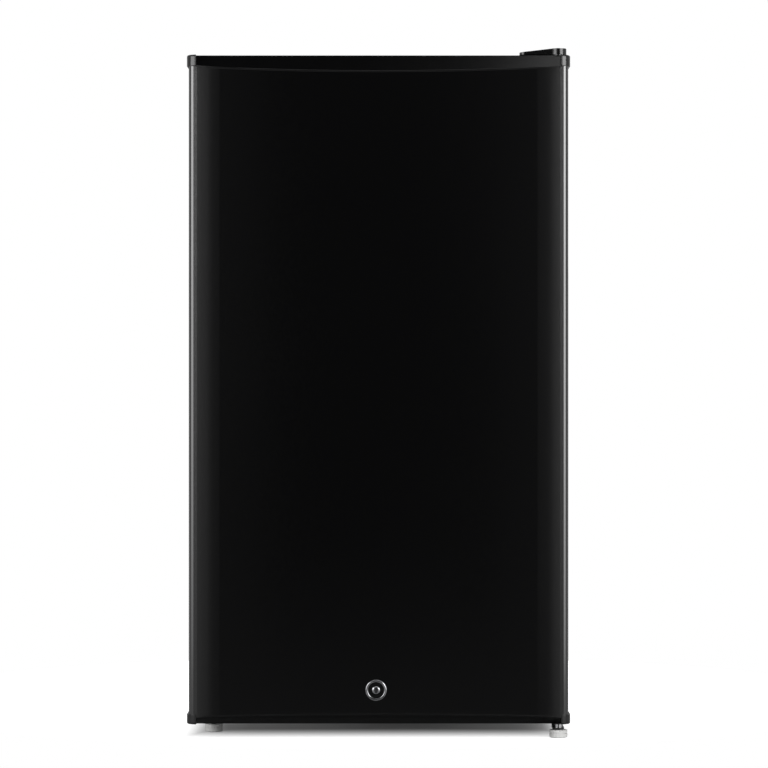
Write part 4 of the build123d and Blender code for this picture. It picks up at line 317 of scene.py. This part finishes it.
def soften(node, width, finish, body):
    """Stands for a CAD node with a copy whose flats are whole faces and whose sharp edges are rounded."""
    piece = bmesh.new()
    piece.from_mesh(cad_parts[node].data)
    bmesh.ops.remove_doubles(piece, verts=piece.verts, dist=MERGE_DISTANCE)
    bmesh.ops.dissolve_limit(
        piece, angle_limit=math.radians(FLAT_ANGLE), verts=piece.verts, edges=piece.edges
    )
    folds = [edge for edge in piece.edges if edge.is_manifold]
    sharp = [edge for edge in folds if edge.calc_face_angle() > math.radians(SHARP_ANGLE)]
    bmesh.ops.bevel(
        piece, geom=sharp, offset=width * MM, offset_type="OFFSET", segments=2, profile=0.5, affect="EDGES",
        clamp_overlap=True, material=-1,
    )
    soft = set_down(node + "_soft", piece, finish, body, SOFT_CREASE)
    soft.modifiers.new("flats_stay_flat", "WEIGHTED_NORMAL").keep_sharp = True
    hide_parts(node)
    return soft


moulding = mould_black("black_moulding", 0.20)
coat(moulding, "door_top_cap", "hinge_cover", "door_grip")
dull_moulding = mould_black("dull_moulding", 0.30)
dull_moulding.node_tree.nodes["Principled BSDF"].inputs["IOR"].default_value = DULL_IOR
bottom_cap = soften("door_bottom_cap", CAP_EDGE_ROUND, moulding, "door")
bottom_cap.data.materials.append(dull_moulding)
for face in bottom_cap.data.polygons:
    face.material_index = int(face.normal.z < SLOPE_TILT)


# Door panel: steel sheet bowed across its width, with a glossy black film laid on before it is bent. The
# film follows the steel's faint waviness, so reflections run down it in soft streaks.

door_film = make_finish("door_film", (0.0009, 0.0009, 0.0010), 0.13)
vary_colour(door_film, lay_texture(door_film, NOISE, 4), (0.0008, 0.0008, 0.0009), (0.0010, 0.0010, 0.0011))
vary_gloss(door_film, lay_texture(door_film, NOISE, 300), 0.12, 0.14)
emboss(door_film, lay_texture(door_film, NOISE, 240), 0.000003)
door_film.node_tree.nodes["Principled BSDF"].inputs["Specular IOR Level"].default_value = 1.0
coat(door_film, "door_panel")


# Door seal: soft grey vinyl, extruded as a bellows with a magnet strip in its head. Four lengths are cut
# to a mitre, welded at the corners and pushed into the door's back.

seal_vinyl = make_finish("seal_vinyl", (0.46, 0.46, 0.45), 0.55)
vary_colour(seal_vinyl, lay_texture(seal_vinyl, NOISE, 30), (0.42, 0.42, 0.41), (0.49, 0.49, 0.48))
vary_gloss(seal_vinyl, lay_texture(seal_vinyl, NOISE, 150), 0.48, 0.62)
emboss(seal_vinyl, lay_texture(seal_vinyl, NOISE, 1200), 0.00002)
FOLD_ROUND = 0.3
SEAL_FOLDS = [
    (1.0, 0.0), (16.0, 0.0), (16.0, 1.5), (12.6, 2.1), (11.6, 3.2), (15.4, 4.2), (15.4, 5.2), (12.4, 6.2),
    (16.2, 7.0), (16.8, 8.2), (16.6, 10.8), (15.4, 11.6), (8.5, 11.7), (1.6, 11.6), (0.4, 10.8), (0.2, 8.2),
    (0.8, 7.0), (4.6, 6.2), (1.6, 5.2), (1.6, 4.2), (5.4, 3.2), (4.4, 2.1), (1.0, 1.5),
]
seal_low, seal_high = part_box("door_gasket")
seal_middle = (seal_low + seal_high) / 2
seal = bmesh.new()
corner = [seal.verts.new(seal_low + Vector((inset, depth, inset)) * MM) for inset, depth in SEAL_FOLDS]
ring = [seal.edges.new(pair) for pair in zip(corner, corner[1:] + corner[:1])]
for axis in ((1, 0, 0), (0, 0, 1), (1, 0, 0), (0, 0, 1)):
    grown = bmesh.ops.extrude_edge_only(seal, edges=ring)["geom"]
    points = {part for part in grown if isinstance(part, bmesh.types.BMVert)}
    ring = [part for part in grown if isinstance(part, bmesh.types.BMEdge) and points.issuperset(part.verts)]
    flip = Matrix.Translation(seal_middle) @ Matrix.Scale(-1, 4, axis) @ Matrix.Translation(-seal_middle)
    bmesh.ops.transform(seal, matrix=flip, verts=list(points))
bmesh.ops.remove_doubles(seal, verts=seal.verts, dist=MERGE_DISTANCE)
bmesh.ops.recalc_face_normals(seal, faces=seal.faces)
seal_bellows = set_down("seal_bellows", seal, seal_vinyl, "door")
fold_rounding = seal_bellows.modifiers.new("fold_rounding", "BEVEL")
fold_rounding.width = FOLD_ROUND * MM
fold_rounding.segments = 2
fold_rounding.limit_method = "ANGLE"
fold_rounding.harden_normals = True
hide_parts("door_gasket")

magnet_strip = make_finish("magnet_strip", (0.020, 0.018, 0.017), 0.62)
ferrite = lay_texture(magnet_strip, NOISE, 300)
vary_colour(magnet_strip, ferrite, (0.016, 0.014, 0.013), (0.026, 0.023, 0.021))
coat(magnet_strip, "seal_magnets")


# Key lock: a blackened barrel with a chromed ring on the door's face. The key plug inside it is chromed
# too, domed round its slot, and turns a steel cam behind the keeper on the rail.

LOCK_X = -3.0
LOCK_HEIGHT = 60.8
PANEL_FACE = -223.5
PLUG_BACK = -172.5
RING_INSIDE = 9.8
RING_OUTSIDE = 13.0
PLUG_RADIUS = 5.6
SLOT_WIDTH = 1.6
SLOT_LENGTH = 7.2
SLOT_DEPTH = 8.0
SLOT_MOUTH = 2.0
chrome = make_finish("chrome", (0.27, 0.27, 0.28), 0.20, 1.0)
vary_colour(chrome, lay_texture(chrome, NOISE, 180), (0.23, 0.23, 0.24), (0.31, 0.31, 0.32))
vary_gloss(chrome, lay_texture(chrome, NOISE, 320), 0.16, 0.26)
lock_black = make_finish("lock_black", (0.002, 0.002, 0.002), 0.22)
vary_gloss(lock_black, lay_texture(lock_black, NOISE, 600), 0.19, 0.25)
blacking = lay_texture(lock_black, NOISE, 300)
vary_colour(lock_black, blacking, (0.0016, 0.0016, 0.0016), (0.0024, 0.0024, 0.0024))
coat(lock_black, "lock_barrel")
coat(zinc_steel, "lock_nut", "lock_cam", "lock_keeper")

lock_axis = Matrix.Translation(Vector((LOCK_X, PANEL_FACE, LOCK_HEIGHT)) * MM) @ forward
ring_shape = turn_up([
    (RING_INSIDE, 0.0), (RING_INSIDE, 0.7), (10.1, 1.15), (10.7, 1.42), (11.4, 1.5), (12.1, 1.42),
    (12.7, 1.1), (RING_OUTSIDE, 0.6), (RING_OUTSIDE, 0.0), (RING_INSIDE, 0.0),
], steps=96)
bmesh.ops.transform(ring_shape, matrix=lock_axis, verts=ring_shape.verts)
lock_ring = set_down("lock_ring", ring_shape, chrome, "door")
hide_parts("lock_bezel")

plug_depth = PANEL_FACE - PLUG_BACK
plug_shape = turn_up([
    (0, 1.10), (1.2, 1.07), (2.4, 0.98), (3.4, 0.80), (4.2, 0.52), (4.8, 0.18), (5.2, -0.20), (5.5, -0.70),
    (PLUG_RADIUS, -1.20), (PLUG_RADIUS, plug_depth), (0, plug_depth),
], steps=64)
key_slot = bmesh.new()
add_box(
    key_slot, (-SLOT_WIDTH / 2, -SLOT_LENGTH / 2, -SLOT_DEPTH), (SLOT_WIDTH / 2, SLOT_LENGTH / 2, SLOT_MOUTH)
)
plug_mesh = cut_out("plug_mesh", plug_shape, key_slot)
plug_mesh.transform(lock_axis)
plug = bmesh.new()
plug.from_mesh(plug_mesh)
key_plug = set_down("key_plug", plug, chrome, "lock")
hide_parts("lock_plug")


# Door racks: moulded in clear polystyrene, each hooked over lugs on the liner's dykes. The mould leaves
# their rims and corners softly rounded, and the thick edges look a little blue.

RACK_ROUND = 0.6


def make_clear(name, colour, roughness, ior, share=1.0):
    """A clear material: light goes through a share of it, tinted by its colour."""
    finish = make_finish(name, colour, roughness)
    shader = finish.node_tree.nodes["Principled BSDF"]
    shader.inputs["Transmission Weight"].default_value = share
    shader.inputs["IOR"].default_value = ior
    return finish


crystal = make_clear("crystal_plastic", (0.93, 0.96, 0.98), 0.05, 1.57)
vary_gloss(crystal, lay_texture(crystal, NOISE, 60), 0.03, 0.09)
emboss(crystal, lay_texture(crystal, NOISE, 35), 0.00006)
for rack in ("lower_rack", "middle_rack", "upper_rack"):
    soften(rack, RACK_ROUND, crystal, rack)


# Shelves: toughened glass with ground edges, in white trims that are pushed on along the front and back.
# The glass looks green along its edges, and the trims stop it on the liner's ledges.

EDGE_ROUND = 0.5
white_moulding = make_finish("white_moulding", (0.74, 0.75, 0.75), 0.32)
vary_colour(white_moulding, lay_texture(white_moulding, NOISE, 12), (0.72, 0.73, 0.73), (0.76, 0.77, 0.77))
vary_gloss(white_moulding, lay_texture(white_moulding, NOISE, 80), 0.27, 0.38)
emboss(white_moulding, lay_texture(white_moulding, NOISE, 1400), 0.00001)
float_glass = make_clear("float_glass", (0.86, 0.95, 0.91), 0.02, 1.52)
vary_gloss(float_glass, lay_texture(float_glass, NOISE, 25), 0.01, 0.04)
for level in ("lower_shelf", "upper_shelf"):
    soften(level + "_glass", EDGE_ROUND, float_glass, level)
    soften(level + "_trims", EDGE_ROUND, white_moulding, level)


# Chiller: a plate of rolled aluminium folded into a box, with the refrigerant's channel blown up between
# its two skins. It hangs from white spacers behind a white frame, with a frosted flap and a clear tray.

rolled_aluminium = make_finish("rolled_aluminium", (0.74, 0.75, 0.76), 0.36, 1.0)
rolled_bands = lay_texture(rolled_aluminium, NOISE, 20)
vary_colour(rolled_aluminium, rolled_bands, (0.69, 0.70, 0.71), (0.78, 0.79, 0.80))
vary_gloss(rolled_aluminium, lay_texture(rolled_aluminium, NOISE, 500, (1, 0.05, 1)), 0.30, 0.44)
emboss(rolled_aluminium, lay_texture(rolled_aluminium, NOISE, 900, (1, 0.04, 1)), 0.00001)
coat(rolled_aluminium, "evaporator")

CHANNEL_RADIUS = 2.6
CHANNEL_EASE = 14.0
CHANNEL_SINK = 0.8
CHANNEL_DROP = 18
CHANNEL_RISE = 44
CHANNEL_CREASE = 60
CHANNEL_DEPTHS = [-38.0, -8.0, 22.0, 52.0, 82.0, 112.0]
plate_low, plate_high = [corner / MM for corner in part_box("evaporator")]
left = plate_low.x + CHANNEL_SINK
right = plate_high.x - CHANNEL_SINK
floor_level = plate_low.z + CHANNEL_SINK
walls = [
    (left, plate_high.z - CHANNEL_DROP), (left, floor_level + CHANNEL_EASE), (left, floor_level),
    (left + CHANNEL_EASE, floor_level), (right - CHANNEL_EASE, floor_level), (right, floor_level),
    (right, floor_level + CHANNEL_EASE), (right, plate_low.z + CHANNEL_RISE),
]
route = []
for row, depth in enumerate(CHANNEL_DEPTHS):
    one_way = walls if row % 2 == 0 else walls[::-1]
    route += [(x, depth, z) for x, z in one_way]
channel_line = bpy.data.curves.new("channel_line", "CURVE")
channel_line.dimensions = "3D"
channel_line.bevel_depth = CHANNEL_RADIUS * MM
channel_line.bevel_resolution = 3
channel_line.use_fill_caps = True
spline = channel_line.splines.new("NURBS")
spline.points.add(len(route) - 1)
for point, place in zip(spline.points, route):
    point.co = (*(Vector(place) * MM), 1)
spline.order_u = 3
spline.use_endpoint_u = True
spline.resolution_u = 6
channel_object = bpy.data.objects.new("channel_line", channel_line)
bpy.context.scene.collection.objects.link(channel_object)
channel_mesh = bpy.data.meshes.new_from_object(
    channel_object.evaluated_get(bpy.context.evaluated_depsgraph_get())
)
bpy.data.objects.remove(channel_object)
channel = bmesh.new()
channel.from_mesh(channel_mesh)
set_down("chiller_channel", channel, rolled_aluminium, "cabinet", CHANNEL_CREASE)

coat(white_moulding, "evaporator_hangers", "chiller_frame")
soften("drip_tray", EDGE_ROUND, crystal, "drip_tray")
frosted = make_clear("frosted_plastic", (0.80, 0.88, 0.93), 0.34, 1.50, 0.75)
vary_gloss(frosted, lay_texture(frosted, NOISE, 120), 0.28, 0.40)
emboss(frosted, lay_texture(frosted, NOISE, 700), 0.00004)
soften("chiller_flap", EDGE_ROUND, frosted, "chiller_flap")


# Thermostat: a white box clipped to the liner's wall, with a grey dial on the switch inside it. The
# settings are printed round the dial, and a white line on its bar points at them.

coat(white_moulding, "thermostat_housing")
dial_plastic = make_finish("dial_plastic", (0.30, 0.31, 0.32), 0.38)
vary_colour(dial_plastic, lay_texture(dial_plastic, NOISE, 60), (0.28, 0.29, 0.30), (0.32, 0.33, 0.34))
vary_gloss(dial_plastic, lay_texture(dial_plastic, NOISE, 300), 0.32, 0.45)
coat(dial_plastic, "thermostat_knob")

KNOB_X = 165.0
KNOB_Z = 749.5
HOUSING_FACE = -30.0
BAR_FACE = -44.5
SETTINGS = 7
SWEEP = 300.0
STEP = SWEEP / (SETTINGS - 1)
NUMBER_RADIUS = 24.5
NUMBER_SIZE = 7.5
INK_THICKNESS = 0.12
TICK_WIDTH = 0.7
TICK_LENGTH = 3.2
POINTER_WIDTH = 1.2
POINTER_START = 5.0
POINTER_END = 14.5
POINTER_SINK = 0.4
POINTER_ROUND = 0.1
print_ink = make_finish("print_ink", (0.05, 0.06, 0.08), 0.5)
vary_colour(print_ink, lay_texture(print_ink, NOISE, 900), (0.04, 0.05, 0.07), (0.07, 0.08, 0.10))
knob_middle = Matrix.Translation(Vector((KNOB_X, HOUSING_FACE, KNOB_Z)) * MM)
scale = bmesh.new()
for setting in range(SETTINGS):
    angle = math.radians(STEP * setting)
    letters = bpy.data.curves.new("setting", "FONT")
    letters.body = str(setting)
    letters.align_x = "CENTER"
    letters.align_y = "CENTER"
    letters.size = NUMBER_SIZE * MM
    letters.extrude = INK_THICKNESS * MM
    written = bpy.data.objects.new("setting", letters)
    bpy.context.scene.collection.objects.link(written)
    graph = bpy.context.evaluated_depsgraph_get()
    number = bpy.data.meshes.new_from_object(written.evaluated_get(graph))
    bpy.data.objects.remove(written)
    across = NUMBER_RADIUS * math.sin(angle)
    up = NUMBER_RADIUS * math.cos(angle)
    middle = (KNOB_X + across, HOUSING_FACE, KNOB_Z + up)
    number.transform(Matrix.Translation(Vector(middle) * MM) @ forward)
    scale.from_mesh(number)
    if setting < SETTINGS - 1:
        tick = add_box(
            scale, (-TICK_WIDTH / 2, -INK_THICKNESS, NUMBER_RADIUS - TICK_LENGTH / 2),
            (TICK_WIDTH / 2, INK_THICKNESS, NUMBER_RADIUS + TICK_LENGTH / 2),
        )
        between = Matrix.Rotation(angle + math.radians(STEP / 2), 4, "Y")
        bmesh.ops.transform(scale, matrix=knob_middle @ between, verts=tick)
set_down("dial_scale", scale, print_ink, "cabinet")

pointer_white = make_finish("pointer_white", (0.80, 0.80, 0.79), 0.45)
vary_colour(pointer_white, lay_texture(pointer_white, NOISE, 700), (0.76, 0.76, 0.75), (0.82, 0.82, 0.81))
pointer = bmesh.new()
add_box(
    pointer, (KNOB_X - POINTER_WIDTH / 2, BAR_FACE - INK_THICKNESS, KNOB_Z + POINTER_START),
    (KNOB_X + POINTER_WIDTH / 2, BAR_FACE + POINTER_SINK, KNOB_Z + POINTER_END),
)
bmesh.ops.bevel(
    pointer, geom=pointer.edges[:], offset=POINTER_ROUND * MM, offset_type="OFFSET", segments=2, profile=0.5,
    affect="EDGES", material=-1,
)
set_down("dial_pointer", pointer, pointer_white, "thermostat_dial")


# Feet: pale grey polypropylene. The two at the front are moulded round steel studs and screw up and down,
# and the two at the back are fixed under the deck.

foot_plastic = make_finish("foot_plastic", (0.60, 0.60, 0.59), 0.45)
vary_colour(foot_plastic, lay_texture(foot_plastic, NOISE, 90), (0.57, 0.57, 0.56), (0.63, 0.63, 0.62))
vary_gloss(foot_plastic, lay_texture(foot_plastic, NOISE, 300), 0.38, 0.52)
emboss(foot_plastic, lay_texture(foot_plastic, NOISE, 1500), 0.00002)
coat(foot_plastic, "front_left_foot", "front_right_foot", "rear_feet")
coat(enamel, "left_foot_stud")


# Cooling unit: a black steel compressor on rubber mounts, copper lines brazed to it, and a condenser of
# black tube with wires spot-welded across both its faces, held off the back by four plastic clips.

coat(enamel, "compressor", "condenser_tube", "condenser_wires")
coat(zinc_steel, "compressor_bolts")
coat(moulding, "relay_cover", "condenser_clips")
copper = make_finish("copper", (0.72, 0.37, 0.24), 0.30, 1.0)
vary_colour(copper, lay_texture(copper, NOISE, 55), (0.58, 0.28, 0.17), (0.80, 0.44, 0.30))
vary_gloss(copper, lay_texture(copper, NOISE, 130), 0.22, 0.42)
coat(copper, "discharge_tube", "suction_tube", "capillary_tube", "filter_drier", "sensing_tube")
rubber = make_finish("black_rubber", (0.018, 0.018, 0.018), 0.62)
vary_colour(rubber, lay_texture(rubber, NOISE, 150), (0.014, 0.014, 0.014), (0.024, 0.024, 0.023))
vary_gloss(rubber, lay_texture(rubber, NOISE, 300), 0.55, 0.72)
emboss(rubber, lay_texture(rubber, NOISE, 1600), 0.00003)
coat(rubber, "compressor_grommets", "line_grommets", "cord_gland", "thermostat_switch")


# Floor: a plain pale studio floor. Out in the open the camera sees it glow white; round the fridge that glow
# fades to a painted shade over the floor's own shadow, and from below it is clear, so that the underside
# shows.

FLOOR_RADIUS = 0.68
FLOOR_MIDDLE = (0, 0.36, 0)
# Painted shade: for the camera, the floor's glow stays at SHADE_DEPTH in a box round the fridge and rises to
# white over the fade widths past it.
SHADE_HALF = (0.205, 0.08, 0)
SHADE_FADE = (0.05, 0.155, 1)
SHADE_DEPTH = 0.03
floor_white = make_finish("floor_white", (0.45, 0.45, 0.45), 0.9)
tree = floor_white.node_tree
place = tree.nodes.new("ShaderNodeTexCoord")
spread = tree.nodes.new("ShaderNodeVectorMath")
spread.operation = "ABSOLUTE"
past_shade = tree.nodes.new("ShaderNodeVectorMath")
past_shade.operation = "SUBTRACT"
past_shade.inputs[1].default_value = SHADE_HALF
fading = tree.nodes.new("ShaderNodeVectorMath")
fading.operation = "DIVIDE"
fading.inputs[1].default_value = SHADE_FADE
sides = tree.nodes.new("ShaderNodeSeparateXYZ")
furthest = tree.nodes.new("ShaderNodeMath")
furthest.operation = "MAXIMUM"
# Painted shade mask: the camera's glow from the floor, low round the fridge and white in the open.
painted_shade_fade = tree.nodes.new("ShaderNodeMapRange")
painted_shade_fade.interpolation_type = "SMOOTHSTEP"
painted_shade_fade.inputs["To Min"].default_value = SHADE_DEPTH
rays = tree.nodes.new("ShaderNodeLightPath")
shown = tree.nodes.new("ShaderNodeMath")
shown.operation = "MULTIPLY"
shader = tree.nodes["Principled BSDF"]
shader.inputs["Emission Color"].default_value = (1, 1, 1, 1)
tree.links.new(place.outputs["Object"], spread.inputs[0])
tree.links.new(spread.outputs["Vector"], past_shade.inputs[0])
tree.links.new(past_shade.outputs["Vector"], fading.inputs[0])
tree.links.new(fading.outputs["Vector"], sides.inputs["Vector"])
tree.links.new(sides.outputs["X"], furthest.inputs[0])
tree.links.new(sides.outputs["Y"], furthest.inputs[1])
tree.links.new(furthest.outputs["Value"], painted_shade_fade.inputs["Value"])
tree.links.new(painted_shade_fade.outputs["Result"], shown.inputs[0])
tree.links.new(rays.outputs["Is Camera Ray"], shown.inputs[1])
tree.links.new(shown.outputs["Value"], shader.inputs["Emission Strength"])
side = tree.nodes.new("ShaderNodeNewGeometry")
clear = tree.nodes.new("ShaderNodeBsdfTransparent")
two_sided = tree.nodes.new("ShaderNodeMixShader")
tree.links.new(side.outputs["Backfacing"], two_sided.inputs["Fac"])
tree.links.new(shader.outputs["BSDF"], two_sided.inputs[1])
tree.links.new(clear.outputs["BSDF"], two_sided.inputs[2])
tree.links.new(two_sided.outputs["Shader"], tree.nodes["Material Output"].inputs["Surface"])
floor_shape = bmesh.new()
bmesh.ops.create_circle(
    floor_shape, cap_ends=True, radius=FLOOR_RADIUS, segments=96, matrix=Matrix.Translation(FLOOR_MIDDLE)
)
floor_mesh = bpy.data.meshes.new("studio_floor")
floor_shape.to_mesh(floor_mesh)
floor_shape.free()
floor_mesh.materials.append(floor_white)
studio_floor = bpy.data.objects.new("studio_floor", floor_mesh)
bpy.context.scene.collection.objects.link(studio_floor)


# Studio: a pale tent, dark in a band over the camera and the fridge and lit below as by the floor. A softbox
# stands at each side in front, one hangs over the camera, a small one over the fridge and one behind it.
# The camera stands level, four metres off.

TENT_GLOW = [
    (-0.50, 0.60), (-0.39, 0.50), (-0.32, 0.36), (-0.28, 0.17), (-0.24, 0.10), (-0.18, 0.05), (-0.10, 0.008),
    (0.10, 0.012), (0.18, 0.042), (0.24, 0.07), (0.28, 0.11), (0.32, 0.28), (0.39, 0.46), (0.50, 0.62),
]
FLOOR_GLOW = 0.5
FLOOR_GLOW_START = -0.05
FLOOR_GLOW_FULL = -0.6
tent = bpy.data.worlds.new("studio_tent")
bpy.context.scene.world = tent
tent.use_nodes = True
tree = tent.node_tree
sky = tree.nodes["Background"]
direction = tree.nodes.new("ShaderNodeTexCoord")
parts = tree.nodes.new("ShaderNodeSeparateXYZ")
sideways = tree.nodes.new("ShaderNodeMapRange")
sideways.inputs["From Min"].default_value = -1
glow = tree.nodes.new("ShaderNodeValToRGB")
stops = glow.color_ramp.elements
stops.remove(stops[1])
for across, strength in TENT_GLOW:
    stops.new((across + 1) / 2).color = (strength, strength, strength, 1)
stops.remove(stops[0])
below = tree.nodes.new("ShaderNodeMapRange")
below.inputs["From Min"].default_value = FLOOR_GLOW_START
below.inputs["From Max"].default_value = FLOOR_GLOW_FULL
below.inputs["To Max"].default_value = FLOOR_GLOW
brighter = tree.nodes.new("ShaderNodeMath")
brighter.operation = "MAXIMUM"
tree.links.new(direction.outputs["Generated"], parts.inputs["Vector"])
tree.links.new(parts.outputs["X"], sideways.inputs["Value"])
tree.links.new(sideways.outputs["Result"], glow.inputs["Fac"])
tree.links.new(parts.outputs["Z"], below.inputs["Value"])
tree.links.new(glow.outputs["Color"], brighter.inputs[0])
tree.links.new(below.outputs["Result"], brighter.inputs[1])
tree.links.new(brighter.outputs["Value"], sky.inputs["Strength"])
plain = tree.nodes.new("ShaderNodeBackground")
for white in (sky, plain):
    white.inputs["Color"].default_value = (1, 1, 1, 1)
rays = tree.nodes.new("ShaderNodeLightPath")
seen = tree.nodes.new("ShaderNodeMath")
seen.operation = "MAXIMUM"
choice = tree.nodes.new("ShaderNodeMixShader")
tree.links.new(rays.outputs["Is Camera Ray"], seen.inputs[0])
tree.links.new(rays.outputs["Is Transmission Ray"], seen.inputs[1])
tree.links.new(seen.outputs["Value"], choice.inputs["Fac"])
tree.links.new(sky.outputs["Background"], choice.inputs[1])
tree.links.new(plain.outputs["Background"], choice.inputs[2])
tree.links.new(choice.outputs["Shader"], tree.nodes["World Output"].inputs["Surface"])


def hang_softbox(name, place, target, width, height, watts, low=1.0, high=1.0):
    """A rectangular softbox that faces a target, with its strength at its lower and at its upper edge."""
    lamp = bpy.data.lights.new(name, "AREA")
    lamp.shape = "RECTANGLE"
    lamp.size = width
    lamp.size_y = height
    lamp.energy = watts
    lamp.use_nodes = True
    tree = lamp.node_tree
    surface = tree.nodes.new("ShaderNodeNewGeometry")
    shares = tree.nodes.new("ShaderNodeSeparateXYZ")
    fade = tree.nodes.new("ShaderNodeMapRange")
    fade.inputs["To Min"].default_value = low
    fade.inputs["To Max"].default_value = high
    tree.links.new(surface.outputs["Parametric"], shares.inputs["Vector"])
    tree.links.new(shares.outputs["Y"], fade.inputs["Value"])
    tree.links.new(fade.outputs["Result"], tree.nodes["Emission"].inputs["Strength"])
    softbox = bpy.data.objects.new(name, lamp)
    bpy.context.scene.collection.objects.link(softbox)
    softbox.location = place
    softbox.rotation_euler = (Vector(target) - Vector(place)).to_track_quat("-Z", "Y").to_euler()


hang_softbox("left_softbox", (-1.67, -1.66, 0.6), (0, -0.2, 0.5), 1.8, 1.4, 25.5, 0.15, 2.0)
hang_softbox("right_softbox", (1.59, -1.72, 0.6), (0, -0.2, 0.5), 1.46, 1.4, 29.5, 0.30, 2.0)
hang_softbox("front_softbox", (0.3, -1.9, 2.2), (0, -0.25, 0.2), 2.2, 1.2, 12)
hang_softbox("top_softbox", (0.55, -0.25, 2.6), (0.2, -0.2, 0.85), 0.6, 0.6, 1.5)
hang_softbox("back_softbox", (0.2, 2.4, 1.5), (0, 0.2, 0.4), 2.4, 1.8, 22)

CAMERA_PLACE = (0.0067, -4.2245, 0.4227)
PHOTO_SIZE = 768
RISE = 11
lens = bpy.data.cameras.new("photo_camera")
lens.lens = 153.0
lens.sensor_width = 36.0
lens.shift_y = RISE / PHOTO_SIZE
camera = bpy.data.objects.new("photo_camera", lens)
camera.location = CAMERA_PLACE
camera.rotation_euler = (math.radians(90), 0, 0)
bpy.context.scene.collection.objects.link(camera)
bpy.context.scene.camera = camera
bpy.context.scene.view_settings.view_transform = "Standard"
